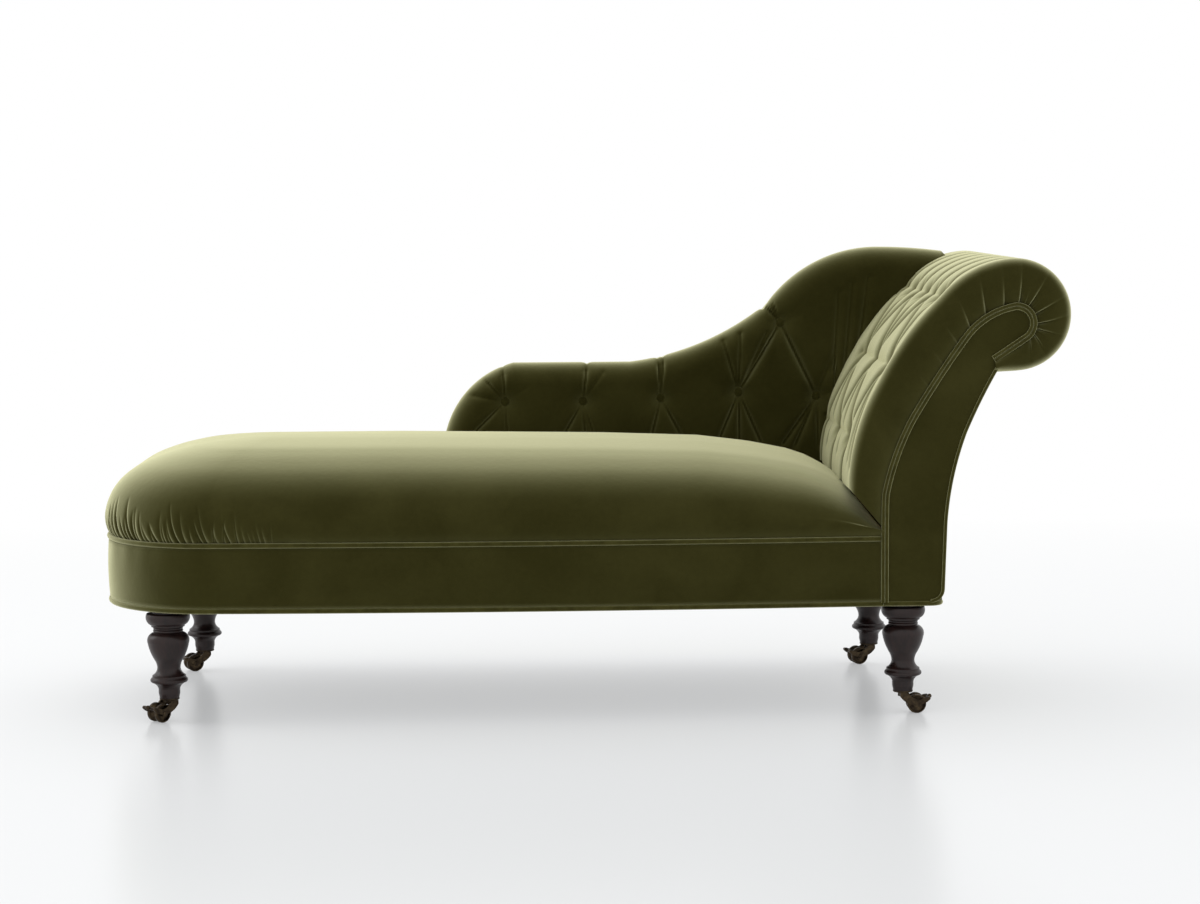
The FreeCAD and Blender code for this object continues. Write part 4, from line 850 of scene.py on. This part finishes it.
def side_rule(across, along):
    """Columns stand along the back; rows go under it, up the front, over and down behind."""
    column = np.rint(across * (len(side_x) - 1)).astype(int)
    x = side_x[column]
    top, foot = top_height(x), foot_height(x)
    row = along * (UNDER_ROWS + FRONT_ROWS + BACK_ROWS) - UNDER_ROWS
    front = row <= FRONT_ROWS
    up = np.where(front, np.maximum(row, 0) / FRONT_ROWS, 1 - (row - FRONT_ROWS) / BACK_ROWS)
    over_crest = np.clip((up - CREST_FROM) / (1 - CREST_FROM), 0, 1)
    front_rise = (np.sin(over_crest * math.pi / 2) * CREST_TALL
                  + np.minimum(up / CREST_FROM, 1) * (top - foot - CREST_TALL))
    back_rise = np.sin(up * math.pi / 2) * (top - foot)
    z = foot + np.where(front, front_rise, back_rise)
    gap = outline_gap(x, z)
    edge = np.clip(gap / FRONT_ROUND, 0, 1)
    hollow = 1 - np.sqrt(np.clip(1 - (1 - edge) ** 2, 0, 1))
    y_front = SIDE_FRONT + (SIDE_CREST - SIDE_FRONT) * hollow
    y_front = y_front + side_sunk(x, z) * np.clip(edge * 2.2 + 0.12, 0, 1)
    near = np.clip(gap / BACK_ROUND, 0, 1)
    y_back = SIDE_CREST + (SIDE_BACK - SIDE_CREST) * np.sqrt(np.clip(1 - (1 - near) ** 2, 0, 1))
    y = np.where(front, y_front, y_back)
    y = np.where(row < 0, y_front + (y_back - y_front) * np.clip(-row / UNDER_ROWS, 0, 1), y)
    return np.stack([x, y, z], 1)


side_back = shaped_grid("side_back_cover", len(side_x) - 1, UNDER_ROWS + FRONT_ROWS + BACK_ROWS, side_rule)
close_up(side_back, near=0.05, fill=True)
print("side back:", len(side_back.data.polygons), "faces")


# %% [markdown]
# Behind the side back a panel of the same velvet closes the frame, with a cord along
# its shaped edge.

# %% Outside panel of the side back
PANEL_INSET = 36


def panel_outline():
    """The side back's line drawn in, down the headrest's sweep and back along the rail."""
    edge = side_line(PANEL_INSET)
    edge = edge[edge[:, 0] < 700]
    keep = edge[:, 1] < 640
    face_x = np.interp(edge[:, 1], outer[:crest, 1], outer[:crest, 0])
    edge = edge[(edge[:, 0] < face_x - 3) | keep]
    start = (edge[0, 0] - 18, edge[0, 1])
    low = 328.0
    below = [(PIPING_X - 3, low), (start[0], low)]
    down = outer[(outer[:, 1] < edge[-1, 1]) & (np.arange(len(outer)) < crest) & (outer[:, 1] > 412)][::-1]
    return np.concatenate([[start], edge[1:], down - (3, 0), [(PIPING_X - 3, 345)], below])


side_panel = flat_panel("side_back_panel", upright_line(panel_outline(), REAR - PANEL), (0, PANEL, 0))[0]
bpy.ops.object.shade_smooth_by_angle(angle=PANEL_EDGE)
straight = [(SIDE_START + PANEL_INSET / 2, z) for z in np.linspace(330, 425, 20)]
panel_edge = np.concatenate([straight, side_line(PANEL_INSET)[4:]])
panel_edge = panel_edge[panel_edge[:, 0] < 664]
side_cord = cord("side_back_cord", upright_line(panel_edge, REAR - 1.5), CORD)


# %% [markdown]
# ## Buttons
# A covered button is a low dome with a soft rim. One sphere is flattened, and copies
# are turned to face out of each hollow.

# %% Buttons
BUTTON_WIDTH, BUTTON_HEIGHT = 21.0, 8.0
SUNK = 16.0


def button(spot, facing_way):
    """A flattened sphere at a spot, turned to face a way."""
    drop_selection()
    bpy.ops.mesh.primitive_uv_sphere_add(segments=28, ring_count=14, radius=BUTTON_WIDTH / 2 * MM)
    piece = bpy.context.object
    turn = Vector(facing_way).to_track_quat("Z", "Y").to_matrix().to_4x4()
    squat = Matrix.Diagonal((1, 1, BUTTON_HEIGHT / BUTTON_WIDTH * 1.24, 1))
    piece.data.transform(Matrix.Translation(Vector(spot) * MM) @ turn @ squat)
    bpy.ops.object.shade_smooth()
    return piece


head_buttons = []
for y, walk in tuft_spots:
    if (y, walk) in SHALLOW:
        continue
    place = at(outer, outer_walk, np.array([walk]))[0]
    out = at(normal, outer_walk, np.array([walk]))[0]
    seat_of = place - out * SUNK
    head_buttons.append(button((seat_of[0], y, seat_of[1]), (out[0], 0, out[1])))
head_buttons = joined("headrest_buttons_covered", head_buttons)
side_buttons = joined("side_back_buttons_covered", [
    button((x, SIDE_FRONT + SUNK + 3, z), (0, -1, 0)) for x, z in SIDE_ROW + [HIGH_BUTTON]])

# %% [markdown]
# ## The dust cover
# Underneath, thin black cotton is tacked to the rails.

# %% Dust cover
DUST_Z, DUST_THICK = 203.2, 0.8
cover_line = plan_line(12)[::3]
cover_line = np.concatenate([cover_line, [(BACK_X - 8, REAR - 12), (BACK_X - 8, FRONT_HEAD + 13)]])
dust, dust_area = flat_panel("dust_cover_cloth", flat_line(cover_line, DUST_Z), (0, 0, -DUST_THICK))
print("dust cover:", round(dust_area, 3), "square metres")

# %% [markdown]
# ## Shader groups
# Two effects are shared. *Nap* is what a hand leaves in velvet: slow patches where the
# pile leans one way or the other, a finer crush, and the fine grain of the pile itself,
# as a bump. *Grain* is the long figure of turned mahogany. Each is a node group with
# named inputs, so that every finish sets its own values.


# %% Node helpers
def group(name, inputs, outputs):
    """An empty shader group with its sockets."""
    tree = bpy.data.node_groups.new(name, "ShaderNodeTree")
    for label, kind, value in inputs:
        socket = tree.interface.new_socket(label, in_out="INPUT", socket_type=kind)
        socket.default_value = value
    for label, kind in outputs:
        tree.interface.new_socket(label, in_out="OUTPUT", socket_type=kind)
    return tree, tree.nodes.new("NodeGroupInput"), tree.nodes.new("NodeGroupOutput")


def node(tree, kind, **settings):
    made = tree.nodes.new(kind)
    for key, value in settings.items():
        setattr(made, key, value)
    return made


def settle(made, values):
    """Set plain values on a node's own sockets."""
    for label, value in values.items():
        made.inputs[label].default_value = value


def bumped(tree, height, strength, distance):
    """A normal bent by a height."""
    made = node(tree, "ShaderNodeBump")
    settle(made, {"Strength": strength, "Distance": distance})
    tree.links.new(height, made.inputs["Height"])
    return made.outputs["Normal"]


def noise(tree, place, scale, detail=3.0, roughness=0.5, distortion=0.0):
    made = node(tree, "ShaderNodeTexNoise")
    settle(made, {"Detail": detail, "Roughness": roughness, "Distortion": distortion})
    tree.links.new(place, made.inputs["Vector"])
    if isinstance(scale, (int, float)):
        made.inputs["Scale"].default_value = scale
    else:
        tree.links.new(scale, made.inputs["Scale"])
    return made.outputs["Fac"]


def sums(tree, kind, first, second, third=None):
    made = node(tree, "ShaderNodeMath", operation=kind)
    for socket, value in zip(made.inputs, (first, second, third)):
        if value is None:
            continue
        if isinstance(value, (int, float)):
            socket.default_value = value
        else:
            tree.links.new(value, socket)
    return made.outputs[0]


def ranged(tree, value, low, high, to_low, to_high):
    made = node(tree, "ShaderNodeMapRange", clamp=True)
    tree.links.new(value, made.inputs["Value"])
    for label, number in (("From Min", low), ("From Max", high), ("To Min", to_low), ("To Max", to_high)):
        if isinstance(number, (int, float)):
            made.inputs[label].default_value = number
        else:
            tree.links.new(number, made.inputs[label])
    return made.outputs["Result"]


def mixed(tree, share, first, second):
    made = node(tree, "ShaderNodeMix", data_type="RGBA")
    tree.links.new(share, made.inputs["Factor"])
    for socket, value in ((made.inputs[6], first), (made.inputs[7], second)):
        if isinstance(value, tuple):
            socket.default_value = value
        else:
            tree.links.new(value, socket)
    return made.outputs[2]


# %% Nap group
def nap_group():
    tree, given, result = group("Nap", [
        ("Shade", "NodeSocketColor", (0.04, 0.04, 0.012, 1)),
        ("Light", "NodeSocketColor", (0.08, 0.08, 0.03, 1)),
        ("Patch Size", "NodeSocketFloat", 9.0),
        ("Crush", "NodeSocketFloat", 0.5),
        ("Pile Bump", "NodeSocketFloat", 0.3),
    ], [("Color", "NodeSocketColor"), ("Roughness", "NodeSocketFloat"), ("Normal", "NodeSocketVector")])
    place = node(tree, "ShaderNodeTexCoord").outputs["Object"]
    patch = noise(tree, place, given.outputs["Patch Size"], 2.5, 0.5, 0.6)
    crush = noise(tree, place, 95.0, 3.0, 0.6, 0.4)
    pile = noise(tree, place, 850.0, 1.5, 0.6)
    leaning = sums(tree, "MULTIPLY_ADD", sums(tree, "SUBTRACT", crush, 0.5), given.outputs["Crush"], patch)
    fine = sums(tree, "MULTIPLY_ADD", sums(tree, "SUBTRACT", pile, 0.5), 0.5, leaning)
    share = ranged(tree, fine, 0.3, 0.72, 0.0, 1.0)
    color = mixed(tree, share, given.outputs["Shade"], given.outputs["Light"])
    tree.links.new(color, result.inputs["Color"])
    tree.links.new(ranged(tree, leaning, 0.3, 0.7, 0.92, 0.8), result.inputs["Roughness"])
    height = sums(tree, "MULTIPLY_ADD", pile, given.outputs["Pile Bump"], sums(tree, "MULTIPLY", crush, 0.6))
    tree.links.new(bumped(tree, height, 0.35, 0.0012), result.inputs["Normal"])
    return tree


NAP = nap_group()


# %% Grain group
def grain_group():
    tree, given, result = group("Grain", [
        ("Dark", "NodeSocketColor", (0.012, 0.006, 0.005, 1)),
        ("Warm", "NodeSocketColor", (0.035, 0.014, 0.009, 1)),
        ("Stretch", "NodeSocketFloat", 0.07),
        ("Wear", "NodeSocketFloat", 0.3),
    ], [("Color", "NodeSocketColor"), ("Roughness", "NodeSocketFloat"), ("Height", "NodeSocketFloat")])
    place = node(tree, "ShaderNodeTexCoord").outputs["Object"]
    parts = node(tree, "ShaderNodeSeparateXYZ")
    tree.links.new(place, parts.inputs[0])
    again = node(tree, "ShaderNodeCombineXYZ")
    tree.links.new(parts.outputs[0], again.inputs[0])
    tree.links.new(parts.outputs[1], again.inputs[1])
    tree.links.new(sums(tree, "MULTIPLY", parts.outputs[2], given.outputs["Stretch"]), again.inputs[2])
    figure = noise(tree, again.outputs[0], 60.0, 5.0, 0.55, 1.2)
    pores = noise(tree, again.outputs[0], 420.0, 2.0, 0.6)
    dull = noise(tree, place, 22.0, 3.0, 0.5)
    share = ranged(tree, sums(tree, "MULTIPLY_ADD", pores, 0.35, figure), 0.45, 0.9, 0.0, 1.0)
    color = mixed(tree, share, given.outputs["Dark"], given.outputs["Warm"])
    tree.links.new(color, result.inputs["Color"])
    rough = sums(tree, "MULTIPLY_ADD", dull, given.outputs["Wear"], 0.2)
    tree.links.new(rough, result.inputs["Roughness"])
    tree.links.new(sums(tree, "MULTIPLY", pores, 0.5), result.inputs["Height"])
    return tree


GRAIN = grain_group()


# %% [markdown]
# ## Finishes
# Velvet looks dark where it is seen straight on and pale where it is seen along the
# surface, because its pile catches light at its tips. Here that sheen is painted into the
# base colour. Layer Weight says how far a surface is turned away. One power of it takes the
# dark olive to a painted slope sheen, a higher one takes that to a painted pale sheen at the
# very edge, and the shader's own sheen adds the last glow. The cords and buttons are of the
# same cloth; the cords' copy is lighter, a painted highlight for the light they catch.

# %% Finishes
def plain_material(name, roughness=0.6):
    material = bpy.data.materials.new(name)
    material.use_nodes = True
    shader = material.node_tree.nodes["Principled BSDF"]
    shader.inputs["Roughness"].default_value = roughness
    return material, material.node_tree, shader


# Painted sheen: the colours the velvet's base is pushed to where it is seen along the surface.
PAINTED_SHEEN_SLOPE, PAINTED_SHEEN_TIPS = (0.235, 0.232, 0.080, 1), (0.70, 0.69, 0.45, 1)
SHEEN_SLOPE_POWER, SHEEN_TIPS_POWER = 1.5, 2.9


def velvet(name, shade, light, patch, crush, pile=0.3):
    """Cloth with painted sheen: its base colour goes pale where it is seen along the surface."""
    material, tree, shader = plain_material(name)
    cloth = node(tree, "ShaderNodeGroup", node_tree=NAP)
    settle(cloth, {"Shade": shade, "Light": light, "Patch Size": patch, "Crush": crush, "Pile Bump": pile})
    grazing_weight = node(tree, "ShaderNodeLayerWeight")
    settle(grazing_weight, {"Blend": 0.5})
    tree.links.new(cloth.outputs["Normal"], grazing_weight.inputs["Normal"])
    # The further the surface turns from the camera, the paler its base colour is painted: painted sheen.
    slope_sheen_share = sums(tree, "POWER", grazing_weight.outputs["Facing"], SHEEN_SLOPE_POWER)
    tips_sheen_share = sums(tree, "POWER", grazing_weight.outputs["Facing"], SHEEN_TIPS_POWER)
    slope_sheened_color = mixed(tree, slope_sheen_share, cloth.outputs["Color"], PAINTED_SHEEN_SLOPE)
    tree.links.new(mixed(tree, tips_sheen_share, slope_sheened_color, PAINTED_SHEEN_TIPS), shader.inputs["Base Color"])
    tree.links.new(cloth.outputs["Roughness"], shader.inputs["Roughness"])
    tree.links.new(cloth.outputs["Normal"], shader.inputs["Normal"])
    settle(shader, {"Sheen Weight": 0.7, "Sheen Roughness": 0.3, "Sheen Tint": (0.84, 0.83, 0.46, 1)})
    settle(shader, {"Specular IOR Level": 0.12})
    return material


olive = velvet("olive_velvet", (0.033, 0.030, 0.0046, 1), (0.047, 0.043, 0.008, 1), 7.0, 0.3)
# The cords' velvet is a lighter copy of the same cloth, a painted highlight for the light the cords catch.
cord_velvet_painted_light = velvet("olive_cord_velvet_painted_light", (0.038, 0.035, 0.006, 1), (0.066, 0.061, 0.013, 1), 30.0, 0.6, 0.5)
olive_button = velvet("olive_button_velvet", (0.03, 0.027, 0.004, 1), (0.048, 0.044, 0.008, 1), 40, 0.6, 0.4)


def wood(name, dark, warm, stretch, wear, coat):
    """Turned or sawn wood with its figure along Z, under a coat of polish."""
    material, tree, shader = plain_material(name)
    figure = node(tree, "ShaderNodeGroup", node_tree=GRAIN)
    settle(figure, {"Dark": dark, "Warm": warm, "Stretch": stretch, "Wear": wear})
    tree.links.new(figure.outputs["Color"], shader.inputs["Base Color"])
    tree.links.new(figure.outputs["Roughness"], shader.inputs["Roughness"])
    tree.links.new(bumped(tree, figure.outputs["Height"], 0.2, 0.0005), shader.inputs["Normal"])
    settle(shader, {"Specular IOR Level": 0.32, "Coat Weight": coat, "Coat Roughness": 0.22})
    return material


mahogany = wood("polished_mahogany", (0.009, 0.0042, 0.0038, 1), (0.026, 0.011, 0.009, 1), 0.07, 0.35, 0.1)
beech = wood("frame_beech", (0.26, 0.16, 0.085, 1), (0.42, 0.28, 0.16, 1), 1.0, 0.5, 0.0)


# %% Metals and plain cloths
def metal(name, dark, bright, rough_low, rough_high, scale):
    """Metal with patches of tarnish: duller and darker where it isn't rubbed."""
    material, tree, shader = plain_material(name)
    place = node(tree, "ShaderNodeTexCoord").outputs["Object"]
    stain = noise(tree, place, scale, 4.0, 0.6, 0.4)
    share = ranged(tree, stain, 0.35, 0.7, 0.0, 1.0)
    tree.links.new(mixed(tree, share, dark, bright), shader.inputs["Base Color"])
    tree.links.new(ranged(tree, stain, 0.35, 0.7, rough_high, rough_low), shader.inputs["Roughness"])
    pits = noise(tree, place, scale * 9, 3.0, 0.6)
    tree.links.new(bumped(tree, pits, 0.15, 0.0003), shader.inputs["Normal"])
    settle(shader, {"Metallic": 1.0})
    return material


brass = metal("tarnished_brass", (0.03, 0.022, 0.016, 1), (0.085, 0.062, 0.036, 1), 0.34, 0.55, 90.0)
steel = metal("screw_steel", (0.14, 0.135, 0.13, 1), (0.33, 0.32, 0.31, 1), 0.28, 0.5, 120.0)
spring_wire = metal("spring_wire", (0.08, 0.08, 0.08, 1), (0.2, 0.2, 0.2, 1), 0.35, 0.55, 60.0)


def woven(name, dark, light, threads, depth=0.4):
    """Plain weave: two sets of bands at right angles, taken over and under each other."""
    material, tree, shader = plain_material(name, 0.9)
    place = node(tree, "ShaderNodeTexCoord").outputs["Object"]
    sets = []
    for direction in ("X", "Y"):
        bands = node(tree, "ShaderNodeTexWave", bands_direction=direction)
        settle(bands, {"Scale": threads, "Distortion": 0.6})
        tree.links.new(place, bands.inputs["Vector"])
        sets.append(bands.outputs["Fac"])
    weave = sums(tree, "MULTIPLY", sets[0], sets[1])
    dust = noise(tree, place, 14.0, 3.0, 0.6)
    share = sums(tree, "MULTIPLY_ADD", dust, 0.5, sums(tree, "MULTIPLY", weave, 0.8))
    share = ranged(tree, share, 0.1, 0.9, 0.0, 1.0)
    tree.links.new(mixed(tree, share, dark, light), shader.inputs["Base Color"])
    tree.links.new(bumped(tree, weave, depth, 0.0006), shader.inputs["Normal"])
    return material


webbing = woven("jute_webbing", (0.30, 0.21, 0.12, 1), (0.52, 0.40, 0.25, 1), 90.0)
hessian = woven("hessian", (0.25, 0.18, 0.10, 1), (0.45, 0.34, 0.21, 1), 140.0)
black_cotton = woven("black_cotton", (0.010, 0.010, 0.011, 1), (0.028, 0.027, 0.028, 1), 260.0, 0.3)
felt = woven("hair_and_felt", (0.32, 0.28, 0.22, 1), (0.55, 0.50, 0.42, 1), 40.0, 0.6)

# %% [markdown]
# Every piece now gets the finish of its slot, and each cover the body it rides on. The
# covers stand for the plain solids under them, which are hidden. The carpentry keeps the
# frame's own shapes and only takes a finish.

# %% Finishes on the frame's own pieces
BY_SLOT = {
    "velvet": olive, "piping": cord_velvet_painted_light, "buttons": olive_button,
    "leg_wood": mahogany, "frame_wood": beech,
    "castor_brass": brass, "screw_steel": steel, "spring_steel": spring_wire,
    "webbing": webbing, "hessian": hessian, "stuffing": felt, "dust_cloth": black_cotton,
}
slot_of = {row["node"]: row["material_slot"] for row in frame["record"]["subparts"]}
for name, piece in frame["nodes"].items():
    piece.data.materials.clear()
    piece.data.materials.append(BY_SLOT[slot_of[name]])
print(len(slot_of), "frame pieces finished")


# %% Finishes on the covers
def dress(piece, slot, stands_for=()):
    """Finish a cover, attach it to the root body and hide the plain solids it stands for."""
    piece.data.materials.clear()
    piece.data.materials.append(BY_SLOT[slot])
    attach(piece, "root")
    if stands_for:
        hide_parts(*stands_for)


dress(seat, "velvet", ["seat_pad", "seat_stuffing", "seat_hessian"])
dress(border, "velvet", ["seat_border"])
dress(upper_welt, "piping", ["seat_welt_upper"])
dress(lower_welt, "piping", ["seat_welt_lower"])
dress(headrest, "velvet", ["headrest_pad", "headrest_hessian"])
dress(facings[0], "velvet", ["scroll_facing_front"])
dress(facings[1], "velvet", ["scroll_facing_rear"])
dress(head_cords[0], "piping", ["scroll_piping_front"])
dress(head_cords[1], "piping", ["scroll_piping_rear"])
dress(outer_back, "velvet", ["headrest_outer_back"])
dress(side_back, "velvet", ["side_back_pad"])
dress(side_panel, "velvet", ["side_back_outside"])
dress(side_cord, "piping")
dress(head_buttons, "buttons", ["headrest_buttons"])
dress(side_buttons, "buttons", ["side_back_buttons"])
dress(dust, "dust_cloth", ["dust_cover"])

# %% [markdown]
# ## The studio
# A pale, slightly glossy floor fades into white with distance. One big soft lamp is over
# and behind the piece and another beyond its foot end, so tops and backs shine and the
# fronts stay dark. The air is white to the camera, and as a light it is strongest from
# above and behind and weakest from the camera's side.

# %% Floor
drop_selection()
bpy.ops.mesh.primitive_plane_add(size=40, location=(0, 0, 0))
floor = bpy.context.object
floor.name = floor.data.name = "studio_floor"
material, tree, shader = plain_material("studio_floor_paint", 0.24)
settle(shader, {"Base Color": (0.83, 0.84, 0.85, 1), "Specular IOR Level": 0.5})
far = node(tree, "ShaderNodeSeparateXYZ")
tree.links.new(node(tree, "ShaderNodeTexCoord").outputs["Object"], far.inputs[0])
haze = ranged(tree, far.outputs[1], 0.0, 2.6, 0.34, 1.0)
path = node(tree, "ShaderNodeLightPath")
seen = sums(tree, "MAXIMUM", path.outputs["Is Camera Ray"], path.outputs["Is Glossy Ray"])
white = node(tree, "ShaderNodeEmission")
tree.links.new(mixed(tree, haze, (0.84, 0.86, 0.87, 1), (1, 1, 1, 1)), white.inputs["Color"])
blend = node(tree, "ShaderNodeMixShader")
tree.links.new(sums(tree, "MULTIPLY", haze, seen), blend.inputs[0])
tree.links.new(shader.outputs[0], blend.inputs[1])
tree.links.new(white.outputs[0], blend.inputs[2])
tree.links.new(blend.outputs[0], tree.nodes["Material Output"].inputs["Surface"])
floor.data.materials.append(material)

# %% World
world = bpy.data.worlds.new("studio_air")
bpy.context.scene.world = world
world.use_nodes = True
tree = world.node_tree
tree.nodes.clear()
path = node(tree, "ShaderNodeLightPath")
seen = sums(tree, "MAXIMUM", path.outputs["Is Camera Ray"], path.outputs["Is Glossy Ray"])
seen = sums(tree, "MAXIMUM", seen, path.outputs["Is Transmission Ray"])
towards = node(tree, "ShaderNodeSeparateXYZ")
tree.links.new(node(tree, "ShaderNodeTexCoord").outputs["Generated"], towards.inputs[0])
lift = sums(tree, "MULTIPLY_ADD", towards.outputs[2], 0.75, sums(tree, "MULTIPLY", towards.outputs[1], 0.65))
behind = ranged(tree, lift, -0.45, 0.75, 0.30, 1.35)
strength = mixed(tree, seen, behind, (1, 1, 1, 1))
light = node(tree, "ShaderNodeBackground")
settle(light, {"Color": (1, 1, 1, 1)})
tree.links.new(strength, light.inputs["Strength"])
tree.links.new(light.outputs[0], node(tree, "ShaderNodeOutputWorld").inputs["Surface"])


# %% Lamps
def lamp(name, place, towards, size, watts):
    """A soft rectangular lamp, aimed at a place."""
    bpy.ops.object.light_add(type="AREA", location=place)
    made = bpy.context.object
    made.name = name
    made.data.shape = "RECTANGLE"
    made.data.size, made.data.size_y = size
    made.data.energy = watts
    made.rotation_euler = (Vector(towards) - Vector(place)).to_track_quat("-Z", "Y").to_euler()


lamp("soft_lamp_above", (-0.5, 2.2, 3.2), (0, 0, 0.3), (3.2, 1.6), 10)
lamp("soft_lamp_foot", (-3.4, 0.6, 1.9), (-0.5, 0, 0.4), (1.6, 1.8), 16)
bpy.context.scene.view_settings.view_transform = "Standard"
